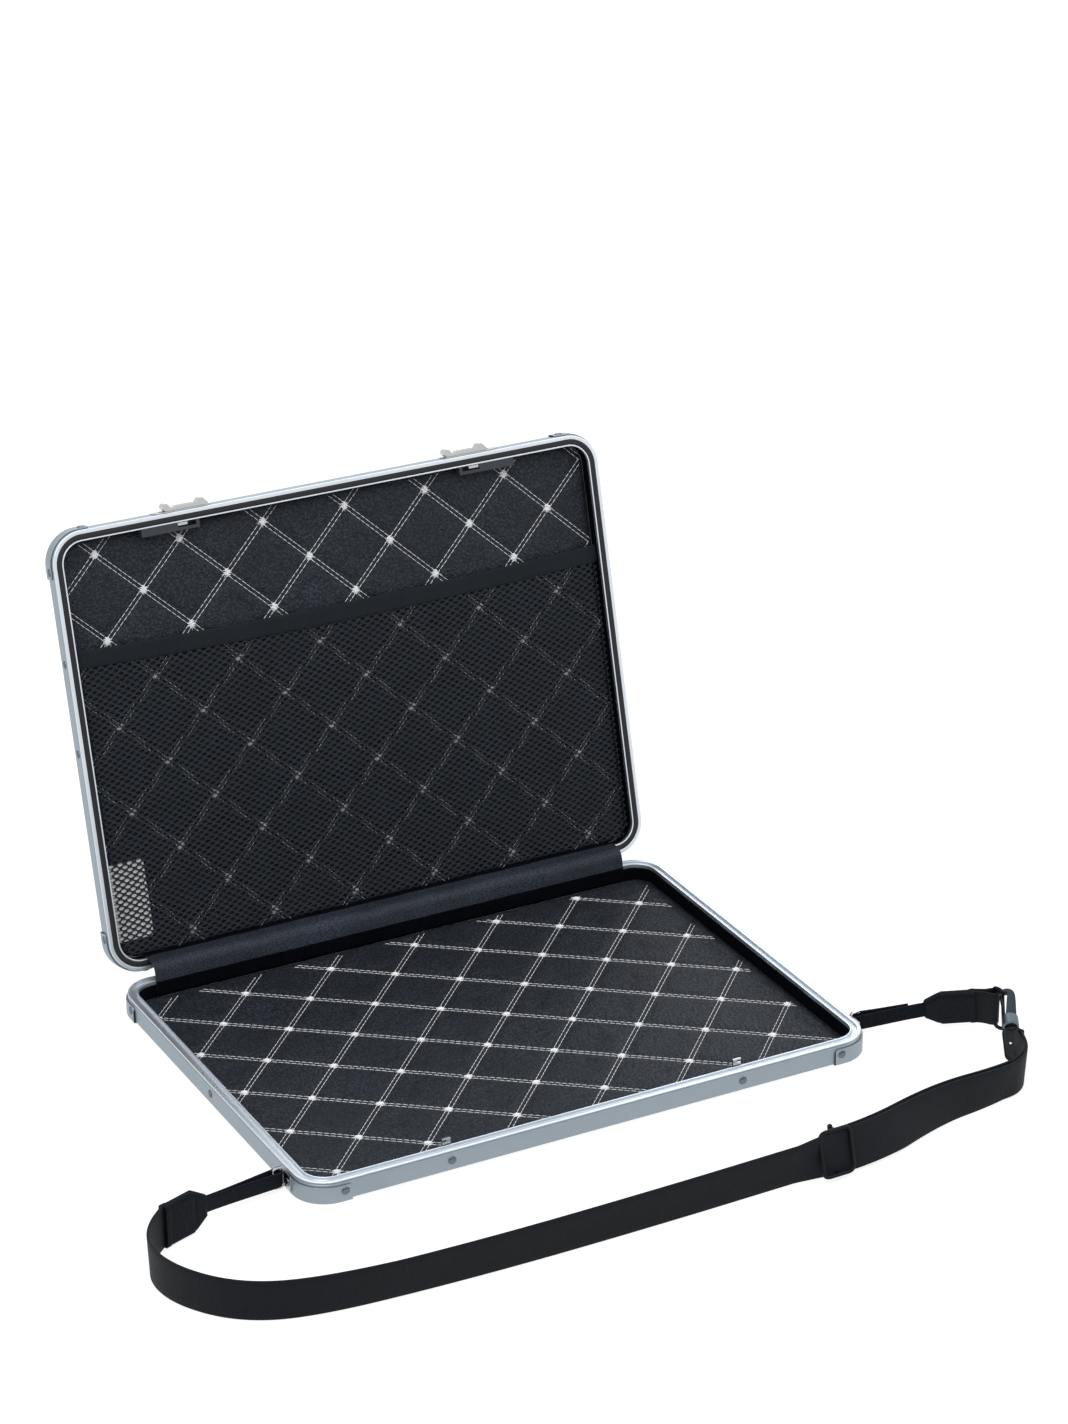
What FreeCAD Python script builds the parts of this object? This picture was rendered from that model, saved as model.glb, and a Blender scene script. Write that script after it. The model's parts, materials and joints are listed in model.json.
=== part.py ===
import FreeCAD, Part
import math
import os

from FreeCAD import Vector

# A slim aluminium laptop case, open, in millimetres. X runs along the hinge, the front is at -Y, Z is up.
# The origin is the middle of the base panel's underside. The lid is drawn closed and then turned open.

# Case
case_width = 350.0
case_depth = 259.0
corner_radius = 19.0
base_wall_height = 12.0
lid_wall_height = 10.0
rim_gap = 0.5
open_angle = 104.3

# Extruded frame section, the same in both halves
frame_wall = 1.2
shoulder_width = 2.2
groove_width = 2.7
lip_width = 1.4
groove_depth = 1.6
rim_floor = 1.0
rim_chamfer = 0.6
ledge_width = 6.0
ledge_thickness = 1.0

# Gaps: bonded or sewn pieces, sliding pieces, pieces on different bodies, and the overrun of a cut
bond_gap = 0.05
slide_gap = 0.15
clear_gap = 0.3
overrun = 1.0

# Sheet panels, linings and quilted liners
panel_sheet = 1.0
lining_board = 1.4
liner_thickness = 3.0
liner_roll = 1.6
channel_width = 9.0
channel_depth = 1.3
base_quilt_node = (-98.8, 0.0)
base_quilt_pitches = (38.3, 37.6)
base_quilt_angles = (-37.9, 46.2)
lid_quilt_node = (-15.6, -87.8)
lid_quilt_pitches = (36.4, 36.4)
lid_quilt_angles = (-44.0, 44.0)

# Corner caps
cap_sheet = 1.0
cap_reach = 25.5
cap_top_drop = 3.0
cap_flange = 4.0
cap_end_cut = 2.0
cap_rivet_inset = 4.0

# Rivets
rivet_head_radius = 2.4
rivet_head_height = 0.9
rivet_shank_radius = 1.2
rivet_tail = 1.0
rivet_dome_shares = ((1.0, 0.0), (0.55, 1.0))
peg_sides = 8
base_rivet_drop = 6.3
lid_rivet_drop = 5.6
mid_rivet_y = -2.0

# Rim gasket
gasket_proud = 0.25

# Piano hinge
hinge_end_gap = 1.0
knuckle_count = 5
knuckle_gap = 0.3
knuckle_radius = 2.5
leaf_sheet = 1.0
leaf_height = 6.0
pin_clearance = 0.05
hinge_rivet_count = 3
hinge_rivet_head_height = 0.7

# Hinge cover strip
cover_end_margin = 21.5
cover_sheet = 0.9
cover_bulge = 3.0

# Latches
latch_inset = 85.0
latch_travel = 5.0
button_length = 28.0
button_width = 6.0
button_bar = 1.6
button_boss_radius = 2.1
button_wedge_length = 7.0
button_wedge_height = 4.0
button_wedge_shares = (0.3, 0.6)
tooth_count = 7
tooth_pitch = 1.6
tooth_height = 0.5
bezel_sheet = 0.7
bezel_height = 6.8
bezel_margin = 1.5
bezel_end_cut = 1.6
bezel_stud_radius = 0.6
housing_length = 36.0
housing_inner_end = 6.5
housing_depth = 3.1
housing_wall = 0.6
housing_face_drop = 0.3
housing_chamfer = 0.8
window_length = 7.0
hook_sheet = 0.9
hook_width = 1.6
hook_tip = 0.4
hook_block_start = 7.0
hook_block_length = 5.0
stem_length = 3.0
stem_height = 1.6
stem_drop = 5.0
spring_sheet = 0.3
spring_width = 1.6
spring_fold_count = 4
keeper_strip = 1.0
keeper_width = 5.0
keeper_notch = 2.5
keeper_head = 1.0
keeper_foot_drop = 9.0
keeper_offset = 0.55

# Lid pocket
binding_width = 10.5
binding_sheet = 1.6
binding_inset = 74.0
binding_sag = 3.7
binding_drop = 4.6
net_sheet = 0.6
net_drop = 5.4
net_bottom_margin = 9.0
net_columns = 11
net_rows = 5
net_strand = 5.0
label_width = 23.0
label_height = 46.0
label_sheet = 0.3
label_drop = 6.4
label_bottom_margin = 17.5
pocket_rivet_offset = 1.0

# Strap lugs
lug_plate = 1.0
lug_plate_length = 10.0
lug_plate_height = 9.0
lug_wire_radius = 0.8
lug_inner_height = 10.4
lug_reach = 6.0
lug_bend = 1.0
wire_sides = 8
lug_past_cap = 2.0
lug_floor_gap = 0.2

# Strap
strap_width = 25.0
webbing_sheet = 1.5
return_gap = 1.2
route_bend_share = 0.45
tab_width = 9.0
tab_leather = 1.5
tab_eye_radius = 1.7
tab_merge = 12.0
end_piece_taper = 9.5
end_piece_tip = 12.0
end_piece_thickness = 5.0
end_piece_chamfer = 1.2
short_start = 0.8
ring_wire_radius = 1.1
ring_bend = 2.2
eye_bar = 2.4
eye_length = 16.0
eye_bend = 2.4
barrel_radius = 4.0
barrel_length = 8.0
hook_wire_radius = 1.5
hook_bend_radius = 3.2
hook_bend_count = 6
hook_curl = math.radians(270)
gate_radius = 0.7
slider_wire_radius = 1.1
slider_length = 19.0
slider_nub = 1.6
slider_bend = 2.4

# Middle line of the strap, from the left end piece round the front to the eye of the snap hook
strap_route = [
    (-256.5, -127.2, 12.8),
    (-275.0, -143.0, 12.8),
    (-276.0, -178.0, 12.8),
    (-250.0, -214.0, 12.8),
    (-205.0, -228.0, 12.8),
    (-115.0, -232.5, 12.8),
    (-15.0, -232.0, 12.8),
    (66.0, -230.5, 16.8),
    (112.0, -229.0, 16.8),
    (165.0, -210.0, 12.8),
    (203.0, -211.0, 12.8),
    (232.0, -202.0, 14.0),
    (238.5, -174.0, 15.8),
]
strap_left_tip = (-228.0, -117.0, 12.8)
strap_right_tip = (216.0, -117.0, 12.8)
strap_right_end = (241.0, -132.0, 15.6)
strap_right_lean = 23.0
ring_places = ((249.7, -138.0, 15.6), (251.6, -144.2, 15.6))
slider_middle_share = 0.5

# Worked-out places
half_width = case_width / 2
half_depth = case_depth / 2
rim_width = shoulder_width + groove_width + lip_width
rim_height = groove_depth + rim_floor
base_rim_z = panel_sheet + base_wall_height
lid_rim_z = base_rim_z + rim_gap
hinge_offset = knuckle_radius + clear_gap
hinge_y = half_depth + hinge_offset
hinge_z = base_rim_z + rim_gap / 2
hinge_axis = Vector(0, hinge_y, hinge_z)
hinge_length = case_width - 2 * (cap_reach + hinge_end_gap)
cover_length = case_width - 2 * cover_end_margin
latch_x = half_width - latch_inset
binding_end_y = binding_inset - half_depth
lug_y = cap_reach + lug_past_cap - half_depth
along_x = Vector(1, 0, 0)
along_y = Vector(0, 1, 0)
along_z = Vector(0, 0, 1)
corners = [("front_left", -1, -1), ("front_right", 1, -1), ("back_left", -1, 1), ("back_right", 1, 1)]
sides = [("left", -1), ("right", 1)]


class Half:
    """One half of the case. A drop is the distance from its rim plane towards its panel."""

    def __init__(self, name, rim_z, into, wall_height, rivet_drop):
        self.name = name
        self.rim_z = rim_z
        self.into = into
        self.wall_height = wall_height
        self.rivet_drop = rivet_drop
        self.liner_drop = wall_height - liner_thickness

    def z(self, drop):
        return self.rim_z + self.into * drop


base = Half("base", base_rim_z, -1, base_wall_height, base_rivet_drop)
lid = Half("lid", lid_rim_z, 1, lid_wall_height, lid_rivet_drop)


# General shapes
def opened(shape):
    """A lid piece turned from closed to the open rest pose."""
    turned = shape.copy()
    turned.rotate(hinge_axis, along_x, -open_angle)
    return turned


def box(x0, x1, y0, y1, z0, z1):
    """A box between two corners given in any order."""
    low = Vector(min(x0, x1), min(y0, y1), min(z0, z1))
    return Part.makeBox(abs(x1 - x0), abs(y1 - y0), abs(z1 - z0), low)


def outline(inset, z):
    """The case's rounded rectangle, inset from its outer wall, as a closed wire."""
    x = half_width - inset
    y = half_depth - inset
    r = corner_radius - inset
    bend = r * math.sqrt(0.5)
    edges = []
    for sx, sy in ((-1, -1), (1, -1), (1, 1), (-1, 1)):
        middle = Vector(sx * (x - r), sy * (y - r), z)
        on_x_wall = middle + Vector(sx * r, 0, 0)
        on_y_wall = middle + Vector(0, sy * r, 0)
        first, last = (on_x_wall, on_y_wall) if sx == sy else (on_y_wall, on_x_wall)
        if edges:
            edges.append(Part.LineSegment(edges[-1].EndPoint, first))
        edges.append(Part.Arc(first, middle + Vector(sx * bend, sy * bend, 0), last))
    edges.append(Part.LineSegment(edges[-1].EndPoint, edges[0].StartPoint))
    return Part.Wire([edge.toShape() for edge in edges])


def slab(half, inset, drop_from, drop_to):
    """A plate of the case's outline between two drops."""
    face = Part.Face(outline(inset, half.z(drop_from)))
    return face.extrude(Vector(0, 0, half.z(drop_to) - half.z(drop_from)))


def ring(half, inset_out, inset_in, drop_from, drop_to):
    """A wall of the case's outline between two insets and two drops."""
    return slab(half, inset_out, drop_from, drop_to).cut(slab(half, inset_in, drop_from, drop_to))


def sweep(spine, profile, up=along_z):
    """A profile carried along a spine without twist."""
    maker = Part.BRepOffsetAPI.MakePipeShell(spine)
    maker.setBiNormalMode(up)
    maker.add(profile)
    maker.build()
    maker.makeSolid()
    return maker.shape()


def polygon(points):
    return Part.makePolygon(points + [points[0]])


def prism(points, along):
    """A closed polygon extruded along a vector."""
    return Part.Face(polygon(points)).extrude(along)


def rod(start, end, radius):
    """A round bar between two points."""
    along = end - start
    return Part.makeCylinder(radius, along.Length, start, along)


def many_sided(middle, across, up, radius, sides):
    """A closed regular polygon in the plane of two unit vectors."""
    points = []
    for i in range(sides):
        turn = 2 * math.pi * (i + 0.5) / sides
        points.append(middle + across * (radius * math.cos(turn)) + up * (radius * math.sin(turn)))
    return polygon(points)


def peg(start, end, radius):
    """A small bar with few faces, for pieces that repeat."""
    reach = (end - start).Length
    solid = Part.Face(many_sided(Vector(), along_x, along_y, radius, peg_sides)).extrude(along_z * reach)
    solid.Placement = FreeCAD.Placement(start, FreeCAD.Rotation(along_z, end - start))
    return solid


def fused(shapes):
    return shapes[0].multiFuse(shapes[1:]).removeSplitter()


def edges_where(shape, test):
    return [edge for edge in shape.Edges if test(edge)]


# Rivets
def rivet(seat, outwards, grip, head_height=rivet_head_height):
    """A round-headed rivet: its head sits at seat, its shank goes the other way."""
    rings = []
    for radius_share, height_share in rivet_dome_shares:
        middle = Vector(0, 0, head_height * height_share)
        rings.append(many_sided(middle, along_x, along_y, rivet_head_radius * radius_share, peg_sides))
    head = Part.makeLoft(rings, True, True)
    head.Placement = FreeCAD.Placement(seat, FreeCAD.Rotation(along_z, outwards))
    shank = peg(seat - outwards * (grip + rivet_tail), seat + outwards * (head_height / 2), rivet_shank_radius)
    return fused([head, shank])


def rivet_hole(seat, outwards, grip):
    start = seat - outwards * (grip + rivet_tail + overrun)
    return peg(start, seat + outwards * overrun, rivet_shank_radius + bond_gap)


class Rivets:
    """A group of rivets and the holes that they need."""

    def __init__(self):
        self.solids = []
        self.holes = []

    def add(self, seat, outwards, grip, head_height=rivet_head_height):
        self.solids.append(rivet(seat, outwards, grip, head_height))
        self.holes.append(rivet_hole(seat, outwards, grip))

    def group(self):
        return Part.makeCompound(self.solids)


def cap_rivets(half):
    """Two rivets to each corner cap. Those of the base's front side ends also hold the strap lugs."""
    rivets = Rivets()
    z = half.z(half.rivet_drop)
    x = half_width - cap_reach + cap_rivet_inset
    y = half_depth - cap_reach + cap_rivet_inset
    for _, sx, sy in corners:
        skin = cap_sheet + bond_gap
        lug = lug_plate + bond_gap if half is base and sy < 0 else 0
        on_side = Vector(sx * (half_width + skin + lug), sy * y, z)
        rivets.add(on_side, Vector(sx, 0, 0), frame_wall + skin + lug)
        on_end = Vector(sx * x, sy * (half_depth + skin), z)
        rivets.add(on_end, Vector(0, sy, 0), frame_wall + skin)
    return rivets


def wall_rivets(half):
    """Rivets through the side walls, one in the middle and, in the lid, one at each end of the binding."""
    rivets = Rivets()
    places = [mid_rivet_y] if half is base else [mid_rivet_y, binding_end_y + pocket_rivet_offset]
    for _, sx in sides:
        for y in places:
            rivets.add(Vector(sx * half_width, y, half.z(half.rivet_drop)), Vector(sx, 0, 0), frame_wall)
    return rivets


def keeper_rivets():
    rivets = Rivets()
    for _, sx in sides:
        seat = Vector(sx * latch_x, -half_depth, base.z(base.rivet_drop))
        rivets.add(seat, Vector(0, -1, 0), frame_wall + bond_gap + keeper_strip)
    return rivets


def leaf_rivets(half):
    """A row of low rivets that holds a hinge leaf to the back wall."""
    rivets = Rivets()
    step = hinge_length / hinge_rivet_count
    z = hinge_z + half.into * (hinge_offset + leaf_height / 2)
    for i in range(hinge_rivet_count):
        x = -hinge_length / 2 + (i + 0.5) * step
        seat = Vector(x, half_depth + bond_gap + leaf_sheet, z)
        rivets.add(seat, along_y, frame_wall + bond_gap + leaf_sheet, hinge_rivet_head_height)
    return rivets


# Frames
def frame_section(half):
    """The extrusion's section: wall, grooved rim and the ledge that carries the panel."""
    groove_in = shoulder_width + groove_width
    depth = half.wall_height
    corners_of_section = [
        (0, depth),
        (0, rim_chamfer),
        (rim_chamfer, 0),
        (shoulder_width, 0),
        (shoulder_width, groove_depth),
        (groove_in, groove_depth),
        (groove_in, 0),
        (rim_width, 0),
        (rim_width, rim_height),
        (frame_wall, rim_height),
        (frame_wall, depth - ledge_thickness),
        (ledge_width, depth - ledge_thickness),
        (ledge_width, depth),
    ]
    x = -half_width + corner_radius
    return polygon([Vector(x, -half_depth + inset, half.z(drop)) for inset, drop in corners_of_section])


def path_from_front(z):
    """The outer outline, starting where the frame's section is drawn."""
    edges = outline(0, z).OrderedEdges
    return Part.Wire(edges[1:] + edges[:1])


def frame(half, holes):
    solid = sweep(path_from_front(half.rim_z), frame_section(half))
    return solid.cut(holes)


# Panels, linings and liners
def panel(half):
    """A flat sheet bonded on the outside of the ledge, inside the flanges of the corner caps."""
    return slab(half, cap_flange + clear_gap, half.wall_height, half.wall_height + panel_sheet)


def side_lining(half, cuts):
    wall = ring(half, rim_width - lining_board, rim_width, rim_height + bond_gap, half.wall_height - ledge_thickness)
    return wall.cut(cuts)


def quilt_lines(node, pitches, angles):
    """Sewn lines of the quilting: a point and a direction for each."""
    steps = []
    for pitch, angle in zip(pitches, angles):
        turn = math.radians(angle)
        steps.append(Vector(pitch * math.cos(turn), pitch * math.sin(turn), 0))
    reach = int((case_width + case_depth) / min(pitches))
    start = Vector(node[0], node[1], 0)
    lines = []
    for step, along in (steps, reversed(steps)):
        for i in range(-reach, reach + 1):
            lines.append((start + step * i, Vector(along).normalize()))
    return lines


def channel(half, point, along):
    """A shallow V along one sewn line, cut from the liner's face."""
    across = along.cross(along_z)
    length = case_width + case_depth
    start = point - along * length
    face_z = half.z(half.liner_drop)
    up = -half.into
    slope = channel_width / 2 * (channel_depth + overrun) / channel_depth
    low = Vector(start.x, start.y, face_z - up * channel_depth)
    high = Vector(start.x, start.y, face_z + up * overrun)
    return prism([low, high + across * slope, high - across * slope], along * (2 * length))


def near_liner(line):
    """True where a sewn line crosses the liner."""
    point, along = line
    distance = abs(along.cross(point).z)
    return distance < math.hypot(half_width, half_depth)


def liner(half, node, pitches, angles):
    """A quilted pad on the panel: rolled edges and a channel along each sewn line."""
    inset = rim_width + clear_gap
    pad = slab(half, inset, half.liner_drop + liner_roll, half.wall_height)
    shoulder = outline(inset, half.z(half.liner_drop + liner_roll))
    face = outline(inset + liner_roll, half.z(half.liner_drop))
    pad = pad.fuse(Part.makeLoft([shoulder, face], True, True))
    lines = [line for line in quilt_lines(node, pitches, angles) if near_liner(line)]
    return pad.cut([channel(half, point, along) for point, along in lines])


# Corner caps
def cap_block(sx, sy):
    """The space over one corner, as far as the cap reaches along both walls."""
    far = overrun + cap_sheet
    return box(
        sx * (half_width - cap_reach),
        sx * (half_width + far),
        sy * (half_depth - cap_reach),
        sy * (half_depth + far),
        -case_depth,
        case_depth,
    )


def corner_cap(half, sx, sy, holes):
    """A pressed sheet cap round one corner, folded under the frame's outer edge."""
    bottom = half.wall_height + cap_sheet
    skin = ring(half, -cap_sheet - bond_gap, -bond_gap, cap_top_drop, bottom)
    flange = ring(half, -cap_sheet - bond_gap, cap_flange, half.wall_height + bond_gap, bottom)
    cap = skin.fuse(flange).common(cap_block(sx, sy)).removeSplitter()
    top_z = half.z(cap_top_drop)

    def is_end_corner(edge):
        middle = edge.CenterOfMass
        at_end = min(
            abs(abs(middle.x) - half_width + cap_reach),
            abs(abs(middle.y) - half_depth + cap_reach),
        )
        short = abs(edge.Length - cap_sheet) < bond_gap
        return short and at_end < bond_gap and abs(middle.z - top_z) < bond_gap

    return cap.makeChamfer(cap_end_cut, edges_where(cap, is_end_corner)).cut(holes)


# Rim gasket
def gasket():
    """The lid's rubber seal, pressed in the groove and a little proud of the rim."""
    low = shoulder_width + bond_gap
    high = shoulder_width + groove_width - bond_gap
    floor = groove_depth - bond_gap
    section = [(low, floor), (low, -gasket_proud), (high, -gasket_proud), (high, floor)]
    x = -half_width + corner_radius
    points = [Vector(x, -half_depth + inset, lid.z(drop)) for inset, drop in section]
    return sweep(path_from_front(lid.rim_z), polygon(points))


# Hinge
def knuckle_span(i):
    """The ends along X of one knuckle, without its gaps."""
    pitch = hinge_length / knuckle_count
    start = -hinge_length / 2 + i * pitch
    return start + knuckle_gap / 2, start + pitch - knuckle_gap / 2


def knuckle(half, i):
    """One knuckle: the leaf's sheet rolled round the pin."""
    x0, x1 = knuckle_span(i)
    inner_y = half_depth + bond_gap
    outer_y = inner_y + leaf_sheet
    meet = math.sqrt(knuckle_radius ** 2 - (hinge_y - outer_y) ** 2)
    root_z = hinge_z + half.into * hinge_offset
    start = Vector(x0, hinge_y - knuckle_radius, hinge_z)
    end = Vector(x0, outer_y, hinge_z + half.into * meet)
    roll = Part.Arc(start, Vector(x0, hinge_y + knuckle_radius, hinge_z), end).toShape()
    foot = [end, Vector(x0, outer_y, root_z), Vector(x0, inner_y, root_z), Vector(x0, inner_y, hinge_z), start]
    lines = [Part.makeLine(a, b) for a, b in zip(foot, foot[1:])]
    bore = Part.makeCircle(knuckle_radius - leaf_sheet, Vector(x0, hinge_y, hinge_z), along_x)
    face = Part.makeFace([Part.Wire([roll] + lines), Part.Wire(bore)], "Part::FaceMakerBullseye")
    return face.extrude(Vector(x1 - x0, 0, 0))


def hinge_leaf(half, first, holes):
    """A leaf on the back wall with every second knuckle rolled from it."""
    inner_y = half_depth + bond_gap
    root_z = hinge_z + half.into * hinge_offset
    far_z = root_z + half.into * leaf_height
    plate = box(-hinge_length / 2, hinge_length / 2, inner_y, inner_y + leaf_sheet, root_z, far_z).cut(holes)
    return fused([plate] + [knuckle(half, i) for i in range(first, knuckle_count, 2)])


def hinge_pin():
    reach = Vector(hinge_length / 2, 0, 0)
    return rod(hinge_axis - reach, hinge_axis + reach, knuckle_radius - leaf_sheet - pin_clearance)


def lid_point(inset, drop):
    """A point of the open lid's back wall, in the plane of the hinge's middle."""
    closed = Vector(0, half_depth - inset, lid.z(drop)) - hinge_axis
    return hinge_axis + FreeCAD.Rotation(along_x, -open_angle).multVec(closed)


def cover_line(offset):
    """One face of the hinge cover: up the base lining, over both rims, down the lid lining."""
    inset = rim_width + clear_gap + offset
    base_foot = Vector(0, half_depth - inset, base.z(base.liner_drop - clear_gap))
    base_top = Vector(0, half_depth - inset, base.z(0))
    lid_top = lid_point(inset, 0)
    lid_foot = lid_point(inset, lid.liner_drop - clear_gap)
    chord = lid_top - base_top
    swell = chord.cross(along_x).normalize() * -cover_bulge
    return base_foot, base_top, (base_top + lid_top) / 2 + swell, lid_top, lid_foot


def hinge_cover():
    """The soft strip that bridges the halves inside the hinge and stops the lid when it is taut."""
    a_foot, a_base, a_middle, a_lid, a_end = cover_line(0)
    b_foot, b_base, b_middle, b_lid, b_end = cover_line(cover_sheet)
    thick = (b_middle - a_middle).normalize() * cover_sheet
    edges = [
        Part.makeLine(a_foot, a_base),
        Part.Arc(a_base, a_middle, a_lid).toShape(),
        Part.makeLine(a_lid, a_end),
        Part.makeLine(a_end, b_end),
        Part.makeLine(b_end, b_lid),
        Part.Arc(b_lid, a_middle + thick, b_base).toShape(),
        Part.makeLine(b_base, b_foot),
        Part.makeLine(b_foot, a_foot),
    ]
    strip = Part.Face(Part.Wire(edges)).extrude(Vector(cover_length, 0, 0))
    strip.translate(Vector(-cover_length / 2, 0, 0))
    return strip


# Latches, in the closed lid
front_y = -half_depth
stem_slot_start = hook_block_start + (hook_block_length - stem_length) / 2
hook_drop = housing_face_drop + housing_wall + clear_gap
notch_start_drop = hook_drop - clear_gap
keeper_head_drop = hook_drop + hook_sheet + clear_gap
keeper_top_drop = keeper_head_drop + keeper_head
hook_inset = rim_width + clear_gap + slide_gap


def across_latch(sx, distance):
    """X of a place, measured outwards from the middle of a latch."""
    return sx * (latch_x + distance)


def stem_slot(sx):
    """The slot through wall, lining and bezel that the stem slides in."""
    rise = stem_height / 2 + slide_gap
    return box(
        across_latch(sx, stem_slot_start - slide_gap),
        across_latch(sx, stem_slot_start + stem_length + latch_travel + slide_gap),
        front_y - bezel_sheet - overrun,
        front_y + rim_width + overrun,
        lid.z(stem_drop - rise),
        lid.z(stem_drop + rise),
    )


def bezel_studs(sx, radius):
    """Two cast studs that hold the bezel, clear of the slot."""
    z = lid.z(stem_drop)
    end_y = front_y + frame_wall + rivet_tail
    studs = []
    for distance in (bezel_stud_radius - button_length / 2, button_length / 2 + latch_travel - bezel_stud_radius):
        x = across_latch(sx, distance)
        studs.append(peg(Vector(x, front_y - bezel_sheet, z), Vector(x, end_y, z), radius))
    return studs


def latch_bezel(sx):
    """The thin chromed plate that the button slides on."""
    back_y = front_y - bond_gap
    rise = bezel_height / 2
    plate = box(
        across_latch(sx, -button_length / 2 - bezel_margin),
        across_latch(sx, button_length / 2 + latch_travel + bezel_margin),
        back_y - bezel_sheet,
        back_y,
        lid.z(stem_drop - rise),
        lid.z(stem_drop + rise),
    )
    ends = edges_where(plate, lambda edge: abs(edge.Length - bezel_sheet) < bond_gap)
    plate = plate.makeChamfer(bezel_end_cut, ends).cut(stem_slot(sx))
    return fused([plate] + bezel_studs(sx, bezel_stud_radius))


def latch_button(sx):
    """The thumb piece: a serrated bar between a round boss and a wedge, the same way round on both."""
    face_y = front_y - bond_gap - bezel_sheet - slide_gap
    low_z = lid.z(stem_drop) - button_width / 2
    rise = Vector(0, 0, button_width)
    half_length = button_length / 2

    def at(along, out):
        return Vector(sx * latch_x + along, face_y - out, low_z)

    boss = Part.makeCylinder(
        button_boss_radius, button_width, at(button_boss_radius - half_length, button_boss_radius)
    )
    teeth = []
    for i in range(tooth_count):
        start = (i - tooth_count / 2) * tooth_pitch
        teeth.append(at(start, button_bar))
        teeth.append(at(start + tooth_pitch / 2, button_bar + tooth_height))
    bar_end = half_length - button_wedge_length
    bar = [at(button_boss_radius - half_length, 0), at(button_boss_radius - half_length, button_bar)]
    bar += teeth + [at(bar_end, button_bar)]
    steep_share, flat_share = button_wedge_shares
    bar.append(at(bar_end + steep_share * button_wedge_length, button_wedge_height))
    bar.append(at(bar_end + flat_share * button_wedge_length, button_wedge_height))
    bar += [at(half_length, button_bar / 2), at(half_length, 0)]
    return fused([boss, prism(bar, rise)])


def latch_housing(sx):
    """The moulded cover inside the lid, open at its back, with a window for the keeper."""
    start = -housing_inner_end
    end = start + housing_length
    back_y = front_y + rim_width + bond_gap
    inner_y = back_y + housing_depth
    face_z = lid.z(housing_face_drop)
    far_z = lid.z(lid.liner_drop - clear_gap)
    shell = box(across_latch(sx, start), across_latch(sx, end), back_y, inner_y, face_z, far_z)
    rims = edges_where(shell, lambda edge: abs(edge.CenterOfMass.y - inner_y) < bond_gap)
    shell = shell.makeChamfer(housing_chamfer, rims)
    hollow = box(
        across_latch(sx, start + housing_wall),
        across_latch(sx, end - housing_wall),
        back_y - overrun,
        inner_y - housing_wall,
        lid.z(housing_face_drop + housing_wall),
        lid.z(lid.liner_drop - clear_gap - housing_wall),
    )
    window = box(
        across_latch(sx, -window_length / 2),
        across_latch(sx, window_length / 2),
        back_y - overrun,
        inner_y - housing_wall,
        lid.z(housing_face_drop - overrun),
        lid.z(housing_face_drop + housing_wall + overrun),
    )
    return shell.cut([hollow, window])


def latch_hook(sx):
    """The sliding hook: a plate with a sloped tip, a block and the stem that reaches the button."""
    tip = keeper_width / 2 - keeper_notch + hook_tip
    block_end = hook_block_start + hook_block_length
    top_drop = stem_drop + stem_height / 2
    flat_drop = hook_drop + hook_sheet
    side_view = [
        (tip, flat_drop),
        (tip, hook_drop + hook_sheet / 2),
        (tip + hook_sheet, hook_drop),
        (block_end, hook_drop),
        (block_end, top_drop),
        (hook_block_start, top_drop),
        (hook_block_start, flat_drop),
    ]
    y = front_y + hook_inset
    plate = prism(
        [Vector(across_latch(sx, distance), y, lid.z(drop)) for distance, drop in side_view],
        Vector(0, hook_width, 0),
    )
    stem = box(
        across_latch(sx, stem_slot_start),
        across_latch(sx, stem_slot_start + stem_length),
        front_y - bezel_sheet - slide_gap,
        y,
        lid.z(stem_drop - stem_height / 2),
        lid.z(top_drop),
    )
    return fused([plate, stem])


def latch_spring(sx):
    """A folded flat spring between the hook's block and the end of the housing."""
    start = hook_block_start + hook_block_length + slide_gap
    end = housing_length - housing_inner_end - housing_wall - slide_gap
    step = (end - start) / spring_fold_count
    z = lid.z(stem_drop) - spring_width / 2
    near = []
    for i in range(spring_fold_count + 1):
        inset = hook_inset + (i % 2) * hook_width
        near.append(Vector(across_latch(sx, start + i * step), front_y + inset, z))
    far = [point + Vector(0, spring_sheet, 0) for point in reversed(near)]
    return prism(near + far, Vector(0, 0, spring_width))


def latch_keeper(sx, holes):
    """A bent strip riveted inside the front wall: it rises inside the lip and has a notched head."""
    wall = frame_wall + bond_gap
    riser = rim_width + keeper_offset
    arm_drop = rim_height + slide_gap
    lift = rim_gap + keeper_top_drop
    section = [
        (wall, keeper_foot_drop),
        (wall + keeper_strip, keeper_foot_drop),
        (wall + keeper_strip, arm_drop + keeper_strip),
        (riser + keeper_strip, arm_drop + keeper_strip),
        (riser + keeper_strip, -lift),
        (riser, -lift),
        (riser, arm_drop),
        (wall, arm_drop),
    ]
    x = sx * latch_x - keeper_width / 2
    points = [Vector(x, front_y + inset, base.z(drop)) for inset, drop in section]
    notch = box(
        across_latch(sx, keeper_width / 2 - keeper_notch),
        across_latch(sx, keeper_width / 2 + overrun),
        front_y + riser - overrun,
        front_y + riser + keeper_strip + overrun,
        lid.z(notch_start_drop),
        lid.z(keeper_head_drop),
    )
    return prism(points, Vector(keeper_width, 0, 0)).cut([notch] + holes)


def keeper_gap(sx):
    """The cut in the base lining that a keeper's arm passes through."""
    reach = keeper_width / 2 + clear_gap
    return box(
        across_latch(sx, -reach),
        across_latch(sx, reach),
        front_y,
        front_y + rim_width + overrun,
        base.z(rim_height),
        base.z(rim_height + slide_gap + keeper_strip + clear_gap),
    )


# Lid pocket, in the closed lid
pocket_half_width = half_width - rim_width - clear_gap


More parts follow.
